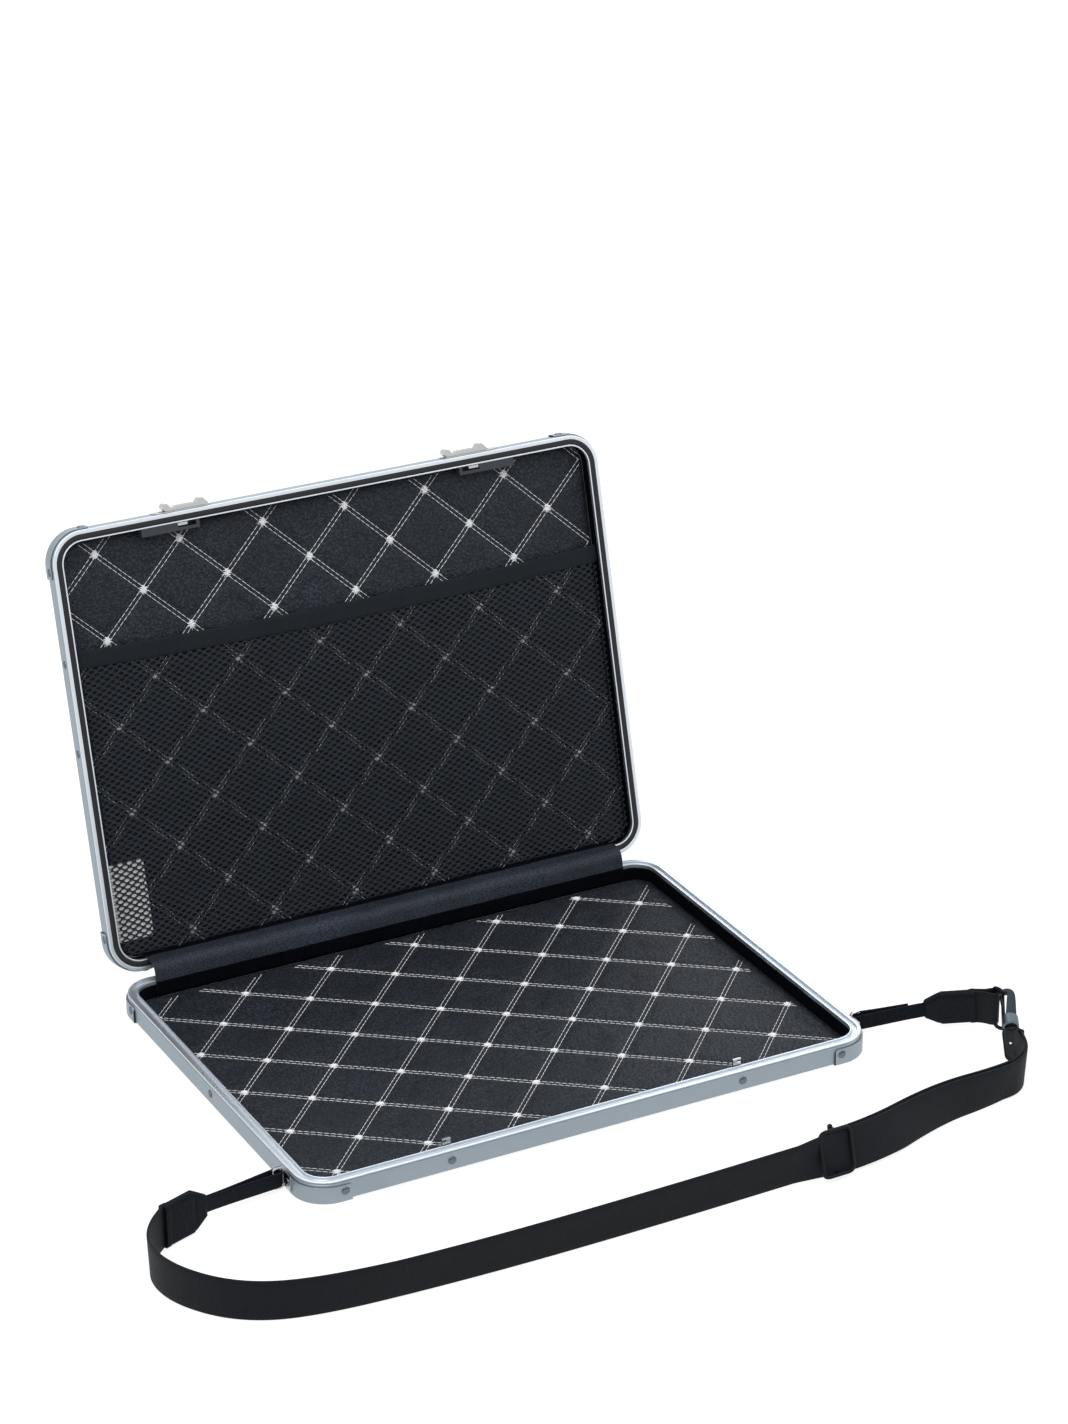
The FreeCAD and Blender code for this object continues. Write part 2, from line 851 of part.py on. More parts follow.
def pocket_arc(offset, drop):
    """An edge of the binding, which sags a little in the middle."""
    y = binding_end_y + offset
    z = lid.z(drop)
    return Part.Arc(
        Vector(-pocket_half_width, y, z), Vector(0, y + binding_sag, z), Vector(pocket_half_width, y, z)
    ).toShape()


def below_arc(arc, y):
    """The face between an arc and a straight line at y."""
    left, right = arc.Vertexes[0].Point, arc.Vertexes[-1].Point
    low_left = Vector(left.x, y, left.z)
    low_right = Vector(right.x, y, right.z)
    lines = [Part.makeLine(right, low_right), Part.makeLine(low_right, low_left), Part.makeLine(low_left, left)]
    return Part.Face(Part.Wire([arc] + lines))


def pocket_binding():
    """The elastic band along the pocket's mouth."""
    top = pocket_arc(-binding_width / 2, binding_drop)
    bottom = pocket_arc(binding_width / 2, binding_drop)
    left = Part.makeLine(top.Vertexes[0].Point, bottom.Vertexes[0].Point)
    right = Part.makeLine(top.Vertexes[-1].Point, bottom.Vertexes[-1].Point)
    face = Part.Face(Part.Wire(Part.__sortEdges__([top, right, bottom, left])))
    return face.extrude(Vector(0, 0, binding_sheet))


def net_gap(middle, half_x, half_y):
    return polygon(
        [
            middle + Vector(half_x, 0, 0),
            middle + Vector(0, half_y, 0),
            middle - Vector(half_x, 0, 0),
            middle - Vector(0, half_y, 0),
        ]
    )


def pocket_net():
    """A knitted net with staggered gaps, as one holed face."""
    bottom_y = half_depth - net_bottom_margin
    top_y = binding_end_y + binding_width / 2 + binding_sag
    whole = below_arc(pocket_arc(binding_width / 2 + bond_gap, net_drop), bottom_y)
    rounded = Part.Face(outline(rim_width + clear_gap, lid.z(net_drop)))
    edge = whole.common(rounded).Faces[0].OuterWire
    pitch_x = 2 * pocket_half_width / (net_columns + 0.5)
    pitch_y = (bottom_y - top_y) / (net_rows + 1)
    gaps = []
    for row in range(net_rows):
        columns = net_columns if row % 2 else net_columns - 1
        y = top_y + (row + 1) * pitch_y
        for column in range(columns):
            x = (column - (columns - 1) / 2) * pitch_x
            middle = Vector(x, y, lid.z(net_drop))
            gaps.append(net_gap(middle, (pitch_x - net_strand) / 2, pitch_y - net_strand / 2))
    face = Part.makeFace([edge] + gaps, "Part::FaceMakerBullseye")
    return face.extrude(Vector(0, 0, net_sheet))


def pocket_label():
    """A blank card in the pocket's corner, behind the net."""
    x = -pocket_half_width + clear_gap
    y = half_depth - label_bottom_margin
    z = lid.z(label_drop)
    return box(x, x + label_width, y - label_height, y, z, z + label_sheet)


# Bent wires
def rounded_wire(points, radius_at):
    """Straight runs joined by tangent arcs. radius_at gives the radius from both runs and the turn."""
    edges = []
    last = points[0]
    for before_point, point, after_point in zip(points, points[1:], points[2:]):
        before = before_point - point
        after = after_point - point
        turn = math.pi - before.getAngle(after)
        radius = radius_at(before.Length, after.Length, turn)
        back = radius * math.tan(turn / 2)
        start = point + before.normalize() * back
        end = point + after.normalize() * back
        middle = point + (before + after).normalize() * (radius / math.cos(turn / 2) - radius)
        edges.append(Part.makeLine(last, start))
        edges.append(Part.Arc(start, middle, end).toShape())
        last = end
    edges.append(Part.makeLine(last, points[-1]))
    return Part.Wire(edges)


def wire_ring(point, before, after, radius, up):
    """The corners of a wire's section on the plane that halves a bend."""
    along = (Vector(before).normalize() + Vector(after).normalize()).normalize()
    across = along.cross(up) * (before.Length / before.dot(along))
    return many_sided(point, across, up, radius, wire_sides).OrderedVertexes[:wire_sides]


def bent_wire(points, radius, up, closed):
    """A thin wire along points in the plane across up, with mitred bends and few faces."""
    runs = [after - point for point, after in zip(points, points[1:])]
    runs.append(points[0] - points[-1] if closed else runs[-1])
    runs_before = [runs[-1] if closed else runs[0]] + runs[:-1]
    rings = []
    for point, before, after in zip(points, runs_before, runs):
        rings.append([corner.Point for corner in wire_ring(point, before, after, radius, up)])
    faces = []
    for ring_a, ring_b in zip(rings, rings[1:] + rings[:1] if closed else rings[1:]):
        for j in range(wire_sides):
            faces.append(Part.Face(polygon([ring_a[j - 1], ring_a[j], ring_b[j], ring_b[j - 1]])))
    if not closed:
        faces += [Part.Face(polygon(rings[0])), Part.Face(polygon(rings[-1]))]
    solid = Part.Solid(Part.Shell(faces))
    if solid.Volume < 0:
        solid.reverse()
    return solid


def wire_loop(middle, along, half_length, half_height, bend, radius):
    """A closed upright rectangle of wire with cut corners."""
    points = []
    for sa, sz in ((-1, -1), (1, -1), (1, 1), (-1, 1)):
        flat_first = sa == sz
        for long_cut in (flat_first, not flat_first):
            reach = along * (sa * (half_length - bend * (not long_cut)))
            rise = along_z * (sz * (half_height - bend * long_cut))
            points.append(middle + reach + rise)
    return bent_wire(points, radius, along.cross(along_z), True)


# Strap lugs
lug_middle_z = lug_floor_gap + 2 * lug_wire_radius + lug_inner_height / 2
lug_face_x = half_width + cap_sheet + 2 * bond_gap


def lug_bar(sx):
    """The middle of a lug's outer bar, which the strap's tab goes round."""
    return Vector(sx * (lug_face_x + lug_reach), lug_y, lug_middle_z)


def strap_lug(sx, holes):
    """A riveted plate with a wire staple that stands out from the side wall."""
    plate_end = lug_y + lug_wire_radius
    plate = box(
        sx * lug_face_x,
        sx * (lug_face_x + lug_plate),
        plate_end - lug_plate_length,
        plate_end,
        lug_middle_z - lug_plate_height / 2,
        lug_middle_z + lug_plate_height / 2,
    ).cut(holes)
    bar = lug_bar(sx)
    root = Vector(sx * (lug_face_x + lug_wire_radius), lug_y, lug_middle_z)
    half_length = abs(bar.x - root.x) / 2
    half_height = lug_inner_height / 2 + lug_wire_radius
    staple = wire_loop((root + bar) / 2, along_x, half_length, half_height, lug_bend, lug_wire_radius)
    return fused([plate, staple])


# Strap
def route_radius(before, after, turn):
    return route_bend_share * min(before, after) / math.tan(turn / 2)


def placed(shape, start, along, up=along_z):
    """A piece drawn along X from the origin, moved to start and turned along a direction."""
    turned = shape.copy()
    turned.Placement = FreeCAD.Placement(start, FreeCAD.Rotation(along, Vector(), up, "XZY"))
    return turned


def ribbon(points, sheet, name):
    """Flat webbing on edge along a route, checked against its section and length."""
    spine = rounded_wire(points, route_radius)
    start = points[0]
    along = points[1] - points[0]
    across = along_z.cross(along).normalize() * (sheet / 2)
    rise = along_z * (strap_width / 2)
    profile = polygon([start - across - rise, start + across - rise, start + across + rise, start - across + rise])
    solid = sweep(spine, profile)
    arcs = [round(edge.Curve.Radius, 1) for edge in spine.Edges if hasattr(edge.Curve, "Radius")]
    print(name, "length", round(spine.Length, 1), "radii", arcs)
    print(name, "volume share", round(solid.Volume / (spine.Length * sheet * strap_width), 4))
    return solid


def beside(points, distance):
    """A route shifted sideways, to its left."""
    shifted = []
    for i, point in enumerate(points):
        after = points[i + 1] - point if i + 1 < len(points) else point - points[i - 1]
        before = point - points[i - 1] if i else after
        left_before = along_z.cross(before).normalize()
        left_after = along_z.cross(after).normalize()
        middle = (left_before + left_after).normalize()
        shifted.append(point + middle * (distance / middle.dot(left_before)))
    return shifted


route = [Vector(*point) for point in strap_route]
slider_start = max(range(len(route) - 1), key=lambda i: route[i].z + route[i + 1].z)
slider_run = route[slider_start + 1] - route[slider_start]
slider_along = Vector(slider_run).normalize()
slider_left = along_z.cross(slider_along)
slider_middle = route[slider_start] + slider_run * slider_middle_share


def strap_webbing():
    """The long webbing from the left end piece to the snap hook."""
    return ribbon(route, webbing_sheet, "strap_webbing")


def strap_return():
    """The webbing's way back from the snap hook's eye to the slider's bar."""
    start = slider_middle + slider_along * (slider_wire_radius + clear_gap)
    points = [start] + route[slider_start + 1 :]
    return ribbon(beside(points, webbing_sheet + return_gap), webbing_sheet, "strap_return")


def strap_slider():
    """A wire frame in front of the webbing, with the bar behind it that holds the doubled end."""
    offset = webbing_sheet / 2 + clear_gap + slider_wire_radius
    half_height = strap_width / 2 + clear_gap + slider_wire_radius
    half_length = slider_length / 2 - slider_wire_radius
    front = slider_middle - slider_left * offset
    back = slider_middle + slider_left * offset
    rise = along_z * half_height
    nub = along_z * (slider_wire_radius + slider_nub)
    pieces = [wire_loop(front, slider_along, half_length, half_height, slider_bend, slider_wire_radius)]
    pieces.append(bent_wire([back - rise - nub, back + rise + nub], slider_wire_radius, slider_along, False))
    for end in (rise, -rise):
        pieces.append(bent_wire([front + end, back + end], slider_wire_radius, slider_along, False))
    return fused(pieces)


def drop_outline(radius, merge, half_end, z):
    """Half a circle round the origin and the two lines that leave it, up to a distance."""
    top = Vector(0, radius, z)
    bottom = Vector(0, -radius, z)
    arc = Part.Arc(top, Vector(-radius, 0, z), bottom).toShape()
    return arc, [bottom, Vector(merge, -half_end, z), Vector(merge, half_end, z), top]


def strap_tab(sx, tip, end):
    """A doubled leather tab with an eye round the lug's bar, cut square where the end piece starts."""
    bar = lug_bar(sx)
    start = Vector(*tip)
    z = -tab_width / 2
    rise = Vector(0, 0, tab_width)
    arc, points = drop_outline(tab_eye_radius + tab_leather, tab_merge, tab_leather, z)
    lines = [Part.makeLine(a, b) for a, b in zip(points, points[1:])]
    loop = Part.Face(Part.Wire([arc] + lines)).extrude(rise)
    length = (start - bar).Length + tab_width
    tongue = box(tab_merge - overrun, length, -tab_leather, tab_leather, z, -z)
    arc, points = drop_outline(tab_eye_radius, tab_merge - tab_leather, 0, z)
    tail = points[1]
    eye = Part.Wire([arc, Part.makeLine(points[0], tail), Part.makeLine(tail, points[-1])])
    tab = fused([loop, tongue]).cut(Part.Face(eye).extrude(rise))
    beyond = box(-bond_gap, length, -length, length, -length, length)
    return placed(tab, bar, start - bar).cut(placed(beyond, start, end - start))


def strap_end(tip, end, lean=0.0):
    """A stitched leather end piece that tapers from the webbing to the tab. It may lean to the front."""
    start = Vector(*tip)
    along = end - start
    length = along.Length - clear_gap
    wide = strap_width / 2
    half_tip = end_piece_tip / 2
    y = -end_piece_thickness / 2
    side_view = [
        (0, -half_tip),
        (end_piece_taper, -wide),
        (length, -wide),
        (length, wide),
        (end_piece_taper, wide),
        (0, half_tip),
    ]
    solid = prism([Vector(x, y, z) for x, z in side_view], Vector(0, end_piece_thickness, 0))
    rims = edges_where(solid, lambda edge: abs(abs(edge.CenterOfMass.y) + y) < bond_gap)
    turn = math.radians(lean)
    return placed(solid.makeChamfer(end_piece_chamfer, rims), start, along, Vector(0, -math.sin(turn), math.cos(turn)))


def strap_short():
    """The short doubled webbing between the right end piece and the ring."""
    start = Vector(*strap_right_end)
    along = Vector(*ring_places[0]) - start
    sheet = 2 * webbing_sheet
    length = along.Length - ring_wire_radius - clear_gap
    return placed(box(short_start, length, -sheet / 2, sheet / 2, -strap_width / 2, strap_width / 2), start, along)


def strap_ring():
    """The rectangular wire ring between the short webbing and the snap hook."""
    near, far = Vector(*ring_places[0]), Vector(*ring_places[1])
    along = far - near
    half_length = along.Length / 2
    half_height = strap_width / 2 + clear_gap + ring_wire_radius
    middle = (near + far) / 2
    return wire_loop(middle, along.normalize(), half_length, half_height, ring_bend, ring_wire_radius)


# Snap hook, drawn along X from the webbing's turn to the ring's far bar
clip_run = Vector(*ring_places[1]) - route[-1]
barrel_start = clear_gap + eye_length
barrel_end = barrel_start + barrel_length


def on_clip(shape):
    return placed(shape, route[-1], clip_run)


def strap_clip():
    """The snap hook's eye frame, which the webbing goes round, and the barrel that the hook turns in."""
    half_bar = eye_bar / 2
    half_length = eye_length / 2 - half_bar
    half_height = strap_width / 2 + clear_gap + half_bar
    middle = Vector(clear_gap + eye_length / 2, 0, 0)
    eye = wire_loop(middle, along_x, half_length, half_height, eye_bend, half_bar)
    barrel = rod(Vector(barrel_start - half_bar, 0, 0), Vector(barrel_end, 0, 0), barrel_radius)
    return on_clip(fused([eye, barrel]))


def strap_hook():
    """The open hook that holds the ring, with its shank against the barrel."""
    middle = Vector(clip_run.Length, 0, 0)
    points = [Vector(barrel_end + bond_gap, 0, 0)]
    for i in range(hook_bend_count + 1):
        turn = math.pi - hook_curl * i / hook_bend_count
        points.append(middle + Vector(math.cos(turn), math.sin(turn), 0) * hook_bend_radius)
    return on_clip(bent_wire(points, hook_wire_radius, along_z, False))


def hook_gate():
    """The sprung wire that closes the hook's mouth."""
    root_y = -hook_wire_radius - gate_radius - bond_gap
    start = Vector(clip_run.Length - 2 * hook_bend_radius, root_y, 0)
    end = Vector(clip_run.Length - clear_gap, -hook_bend_radius, 0)
    return on_clip(bent_wire([start, end], gate_radius, along_z, False))


# All pieces
nodes = {}
left_end = route[0]
right_end = Vector(*strap_right_end)
base_caps = cap_rivets(base)
lid_caps = cap_rivets(lid)
base_walls = wall_rivets(base)
lid_walls = wall_rivets(lid)
keeper_pins = keeper_rivets()
base_leaf_rivets = leaf_rivets(base)
lid_leaf_rivets = leaf_rivets(lid)
stem_slots = [stem_slot(sx) for _, sx in sides]
stud_holes = [hole for _, sx in sides for hole in bezel_studs(sx, bezel_stud_radius + bond_gap)]

base_holes = base_caps.holes + base_walls.holes + keeper_pins.holes + base_leaf_rivets.holes
nodes["base_frame"] = frame(base, base_holes)
nodes["base_panel"] = panel(base)
nodes["base_liner"] = liner(base, base_quilt_node, base_quilt_pitches, base_quilt_angles)
nodes["base_side_lining"] = side_lining(base, [keeper_gap(sx) for _, sx in sides])
nodes["base_cap_rivets"] = base_caps.group()
nodes["base_wall_rivets"] = base_walls.group()
nodes["keeper_rivets"] = keeper_pins.group()
nodes["hinge_base_leaf"] = hinge_leaf(base, 0, base_leaf_rivets.holes)
nodes["hinge_base_rivets"] = base_leaf_rivets.group()
nodes["hinge_pin"] = hinge_pin()
nodes["hinge_cover"] = hinge_cover()
for corner, sx, sy in corners:
    nodes["base_corner_cap_" + corner] = corner_cap(base, sx, sy, base_caps.holes)
for side, sx in sides:
    nodes["latch_keeper_" + side] = latch_keeper(sx, keeper_pins.holes)
    nodes["strap_lug_" + side] = strap_lug(sx, base_caps.holes)
nodes["strap_tab_left"] = strap_tab(-1, strap_left_tip, left_end)
nodes["strap_tab_right"] = strap_tab(1, strap_right_tip, right_end)
nodes["strap_end_left"] = strap_end(strap_left_tip, left_end)
nodes["strap_end_right"] = strap_end(strap_right_tip, right_end, strap_right_lean)
nodes["strap_webbing"] = strap_webbing()
nodes["strap_return"] = strap_return()
nodes["strap_slider"] = strap_slider()
nodes["strap_short"] = strap_short()
nodes["strap_ring"] = strap_ring()
nodes["strap_clip"] = strap_clip()
nodes["strap_hook"] = strap_hook()
nodes["hook_gate"] = hook_gate()

lid_nodes = {}
lid_holes = lid_caps.holes + lid_walls.holes + lid_leaf_rivets.holes + stem_slots + stud_holes
lid_nodes["lid_frame"] = frame(lid, lid_holes)
lid_nodes["lid_panel"] = panel(lid)
lid_nodes["lid_liner"] = liner(lid, lid_quilt_node, lid_quilt_pitches, lid_quilt_angles)
lid_nodes["lid_side_lining"] = side_lining(lid, stem_slots)
lid_nodes["lid_gasket"] = gasket()
lid_nodes["lid_cap_rivets"] = lid_caps.group()
lid_nodes["lid_wall_rivets"] = lid_walls.group()
lid_nodes["hinge_lid_leaf"] = hinge_leaf(lid, 1, lid_leaf_rivets.holes)
lid_nodes["hinge_lid_rivets"] = lid_leaf_rivets.group()
lid_nodes["pocket_net"] = pocket_net()
lid_nodes["pocket_binding"] = pocket_binding()
lid_nodes["pocket_label"] = pocket_label()
for corner, sx, sy in corners:
    lid_nodes["lid_corner_cap_" + corner] = corner_cap(lid, sx, sy, lid_caps.holes)
for side, sx in sides:
    lid_nodes["latch_bezel_" + side] = latch_bezel(sx)
    lid_nodes["latch_button_" + side] = latch_button(sx)
    lid_nodes["latch_housing_" + side] = latch_housing(sx)
    lid_nodes["latch_hook_" + side] = latch_hook(sx)
    lid_nodes["latch_spring_" + side] = latch_spring(sx)
for name, shape in lid_nodes.items():
    nodes[name] = opened(shape)

os.makedirs("parts", exist_ok=True)
for name, shape in nodes.items():
    shape.exportStep("parts/" + name + ".step")
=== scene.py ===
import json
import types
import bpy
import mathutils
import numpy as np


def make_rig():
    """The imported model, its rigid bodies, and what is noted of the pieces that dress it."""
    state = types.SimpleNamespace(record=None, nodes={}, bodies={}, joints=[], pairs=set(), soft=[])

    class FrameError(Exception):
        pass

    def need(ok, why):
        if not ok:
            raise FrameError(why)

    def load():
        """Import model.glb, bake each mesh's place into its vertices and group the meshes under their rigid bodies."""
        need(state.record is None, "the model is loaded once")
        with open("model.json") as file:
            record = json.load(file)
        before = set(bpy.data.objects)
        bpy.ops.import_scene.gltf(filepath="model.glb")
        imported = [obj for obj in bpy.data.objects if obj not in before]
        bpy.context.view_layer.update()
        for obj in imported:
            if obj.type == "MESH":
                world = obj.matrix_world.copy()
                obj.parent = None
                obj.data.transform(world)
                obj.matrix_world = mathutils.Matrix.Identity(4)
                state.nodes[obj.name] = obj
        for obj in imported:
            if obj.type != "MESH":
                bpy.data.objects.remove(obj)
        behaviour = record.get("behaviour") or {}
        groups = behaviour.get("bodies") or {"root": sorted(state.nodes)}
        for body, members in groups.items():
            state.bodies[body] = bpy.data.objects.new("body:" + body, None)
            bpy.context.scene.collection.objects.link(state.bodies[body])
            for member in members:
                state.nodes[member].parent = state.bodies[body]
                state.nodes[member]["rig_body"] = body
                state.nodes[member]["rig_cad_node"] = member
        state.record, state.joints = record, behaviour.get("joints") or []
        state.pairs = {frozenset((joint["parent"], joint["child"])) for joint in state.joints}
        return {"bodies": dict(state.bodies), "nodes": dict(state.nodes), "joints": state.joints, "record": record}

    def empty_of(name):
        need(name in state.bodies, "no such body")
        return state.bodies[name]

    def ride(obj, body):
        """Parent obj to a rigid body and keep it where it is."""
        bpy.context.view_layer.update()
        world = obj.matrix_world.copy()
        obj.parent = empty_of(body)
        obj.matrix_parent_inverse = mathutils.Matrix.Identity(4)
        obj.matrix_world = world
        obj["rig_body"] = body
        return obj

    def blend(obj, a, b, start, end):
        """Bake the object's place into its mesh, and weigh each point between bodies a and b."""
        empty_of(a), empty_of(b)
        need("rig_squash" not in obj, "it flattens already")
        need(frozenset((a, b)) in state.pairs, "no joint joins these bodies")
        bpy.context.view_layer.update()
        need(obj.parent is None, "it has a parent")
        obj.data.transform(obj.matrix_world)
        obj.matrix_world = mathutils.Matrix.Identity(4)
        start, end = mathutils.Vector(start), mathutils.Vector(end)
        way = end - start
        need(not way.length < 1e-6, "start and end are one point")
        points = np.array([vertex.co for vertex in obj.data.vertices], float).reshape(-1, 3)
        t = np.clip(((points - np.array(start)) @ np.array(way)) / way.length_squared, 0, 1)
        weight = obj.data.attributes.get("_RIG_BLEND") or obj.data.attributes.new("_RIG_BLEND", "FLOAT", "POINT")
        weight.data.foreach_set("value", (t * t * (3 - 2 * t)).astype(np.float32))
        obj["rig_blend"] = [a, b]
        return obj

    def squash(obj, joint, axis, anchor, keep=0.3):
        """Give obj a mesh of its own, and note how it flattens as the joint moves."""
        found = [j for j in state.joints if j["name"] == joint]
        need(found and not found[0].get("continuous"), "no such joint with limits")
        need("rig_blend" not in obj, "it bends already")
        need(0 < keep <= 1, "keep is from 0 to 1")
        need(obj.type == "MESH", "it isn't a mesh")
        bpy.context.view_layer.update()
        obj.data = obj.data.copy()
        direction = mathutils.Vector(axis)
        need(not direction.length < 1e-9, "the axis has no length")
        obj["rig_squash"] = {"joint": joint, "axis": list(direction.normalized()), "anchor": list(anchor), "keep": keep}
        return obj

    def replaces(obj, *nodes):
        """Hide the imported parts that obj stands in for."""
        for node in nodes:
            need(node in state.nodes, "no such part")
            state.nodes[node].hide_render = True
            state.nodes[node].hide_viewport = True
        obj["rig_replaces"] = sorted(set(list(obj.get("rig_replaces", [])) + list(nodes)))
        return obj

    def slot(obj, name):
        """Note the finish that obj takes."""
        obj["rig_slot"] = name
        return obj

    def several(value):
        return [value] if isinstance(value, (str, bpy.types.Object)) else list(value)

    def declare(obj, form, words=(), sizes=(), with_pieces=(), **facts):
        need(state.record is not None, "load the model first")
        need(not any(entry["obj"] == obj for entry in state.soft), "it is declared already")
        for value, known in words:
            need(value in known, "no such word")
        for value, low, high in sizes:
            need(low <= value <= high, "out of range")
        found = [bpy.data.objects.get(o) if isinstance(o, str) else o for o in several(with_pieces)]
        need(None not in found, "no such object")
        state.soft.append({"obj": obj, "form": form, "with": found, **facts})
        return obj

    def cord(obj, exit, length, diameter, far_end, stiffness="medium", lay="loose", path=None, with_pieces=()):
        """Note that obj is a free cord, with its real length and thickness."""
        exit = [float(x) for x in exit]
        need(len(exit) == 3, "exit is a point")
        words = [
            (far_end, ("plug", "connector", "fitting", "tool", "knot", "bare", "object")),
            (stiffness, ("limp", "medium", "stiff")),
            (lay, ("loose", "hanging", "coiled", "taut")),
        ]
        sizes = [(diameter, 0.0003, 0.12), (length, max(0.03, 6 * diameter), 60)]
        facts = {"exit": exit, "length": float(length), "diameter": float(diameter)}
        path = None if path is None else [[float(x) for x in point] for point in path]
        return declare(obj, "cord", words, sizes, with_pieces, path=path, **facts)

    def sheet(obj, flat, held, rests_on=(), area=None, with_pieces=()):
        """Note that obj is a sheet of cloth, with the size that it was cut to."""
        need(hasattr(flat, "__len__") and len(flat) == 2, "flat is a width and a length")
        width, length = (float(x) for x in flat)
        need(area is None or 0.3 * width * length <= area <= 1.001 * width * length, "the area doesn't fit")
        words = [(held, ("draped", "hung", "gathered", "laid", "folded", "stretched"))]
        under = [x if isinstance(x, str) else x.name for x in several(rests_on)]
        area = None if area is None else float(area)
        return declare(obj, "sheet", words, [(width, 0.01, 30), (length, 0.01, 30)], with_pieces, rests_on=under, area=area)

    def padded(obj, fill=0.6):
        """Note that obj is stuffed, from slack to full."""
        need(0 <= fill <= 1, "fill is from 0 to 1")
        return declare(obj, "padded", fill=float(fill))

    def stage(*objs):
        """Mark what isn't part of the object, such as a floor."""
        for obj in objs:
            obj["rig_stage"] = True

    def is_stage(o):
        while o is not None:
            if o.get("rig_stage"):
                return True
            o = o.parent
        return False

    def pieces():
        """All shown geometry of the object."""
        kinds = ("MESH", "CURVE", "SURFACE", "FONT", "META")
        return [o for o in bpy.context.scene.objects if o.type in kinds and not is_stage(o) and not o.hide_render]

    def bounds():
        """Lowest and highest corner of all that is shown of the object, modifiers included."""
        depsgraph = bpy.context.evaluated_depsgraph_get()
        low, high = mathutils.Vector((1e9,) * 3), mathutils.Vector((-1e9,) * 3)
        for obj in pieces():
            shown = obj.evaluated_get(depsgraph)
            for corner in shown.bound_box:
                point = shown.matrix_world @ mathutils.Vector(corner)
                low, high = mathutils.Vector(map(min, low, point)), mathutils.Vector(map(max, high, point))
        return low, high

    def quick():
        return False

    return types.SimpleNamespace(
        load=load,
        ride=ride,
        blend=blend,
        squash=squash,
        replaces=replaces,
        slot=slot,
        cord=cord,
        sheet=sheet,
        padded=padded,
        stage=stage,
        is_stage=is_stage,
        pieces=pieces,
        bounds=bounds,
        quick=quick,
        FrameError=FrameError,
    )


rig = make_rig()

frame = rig.load()

import itertools
import json
import math
import random

import bmesh
import bpy
from mathutils import Matrix, Vector, noise
from mathutils.bvhtree import BVHTree

# The open laptop case with its fabrics, leather, stitching and finishes. Sizes are in millimetres, in the
# part's own frame, and every mesh is made in metres. Angles are in degrees.
cad_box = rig.bounds()
mm = 0.001
draw = random.Random(7)

# Case, as in the part
half_width = 175.0
half_depth = 129.5
corner_radius = 19.0
base_wall_height = 12.0
lid_wall_height = 10.0
base_rim_z = 13.0
lid_rim_z = 13.5
open_angle = 104.3
hinge_axis = Vector((0.0, 132.3, 13.25))

# Frame section
frame_wall = 1.2
shoulder_width = 2.25
groove_width = 3.15
lip_width = 0.9
groove_depth = 1.6
rim_floor = 1.0
rim_width = shoulder_width + groove_width + lip_width
rim_height = groove_depth + rim_floor
ledge_width = 6.0
ledge_thickness = 1.0
shoulder_round = 0.7
line_drop = 1.4
line_half = 0.4
line_depth = 0.6
edge_round = 0.25
corner_steps = 14
round_steps = 4
longest_round_share = 1 / 2.2
bond_gap = 0.05
clear_gap = 0.3

# Edges that stay sharp
sharp_angle = 40.0
soft_angle = 60.0
thread_angle = 80.0

# Linings, gasket and caps
lining_board = 1.4
lining_round = 0.3
gasket_proud = 0.25
gasket_round = 1.2
cap_sheet = 1.0
cap_reach = 25.5
cap_top_drop = 3.0
cap_flange = 4.0
cap_end_cut = 2.0
cap_fold = 1.2
cap_edge_round = 0.3
cap_steps = 5

# Rivets
rivet_head_radius = 2.4
rivet_head_height = 0.9
rivet_shank_radius = 1.2
rivet_tail = 1.0
rivet_sides = 24
rivet_dome_steps = 6
rivet_rim_share = 0.18
cap_rivet_inset = 4.0
rivet_drops = {"base": 6.3, "lid": 5.6}
mid_rivet_y = -2.0
pocket_rivet_offset = 1.0
lug_plate = 1.0
hinge_rivet_count = 3
hinge_rivet_head_height = 0.7
hinge_half_length = 148.5
leaf_sheet = 1.0
leaf_height = 6.0

# Latch housings and springs
latch_x = 90.0
housing_length = 36.0
housing_inner_end = 6.5
housing_depth = 4.9
housing_wall = 0.6
housing_face_drop = 0.3
housing_round = 0.2
window_span = (-4.5, 6.8)
window_width = 2.9
latch_travel = 5.0
spring_start = 12.15
spring_end = 28.75
spring_inset = 6.75
spring_depth = 1.6
spring_drop = 5.0
spring_width = 1.6
spring_sheet = 0.3
spring_folds = 4

# Quilted liners
liner_thickness = 3.0
liner_roll = 1.6
liner_roll_depth = 0.5
liner_grid = 2.4
liner_inset = rim_width + bond_gap
liner_half_width = half_width - liner_inset
liner_half_depth = half_depth - liner_inset
liner_corner = corner_radius - liner_inset
sewn_depth = 1.3
pad_limit = 1.25
pin_reach = 1.9
channel_width = 3.2
quick_swell = 6.0
cloth_frames = 20
cloth_pressure = 4.0
cloth_mass = 0.15
cloth_slack = -0.03
crossing_reach = 20
base_quilt_node = (-98.8, 0.0)
base_quilt_pitches = (38.3, 37.6)
base_quilt_angles = (-37.9, 46.2)
lid_quilt_node = (-15.6, -87.8)
lid_quilt_pitches = (36.4, 36.4)
lid_quilt_angles = (-44.0, 44.0)

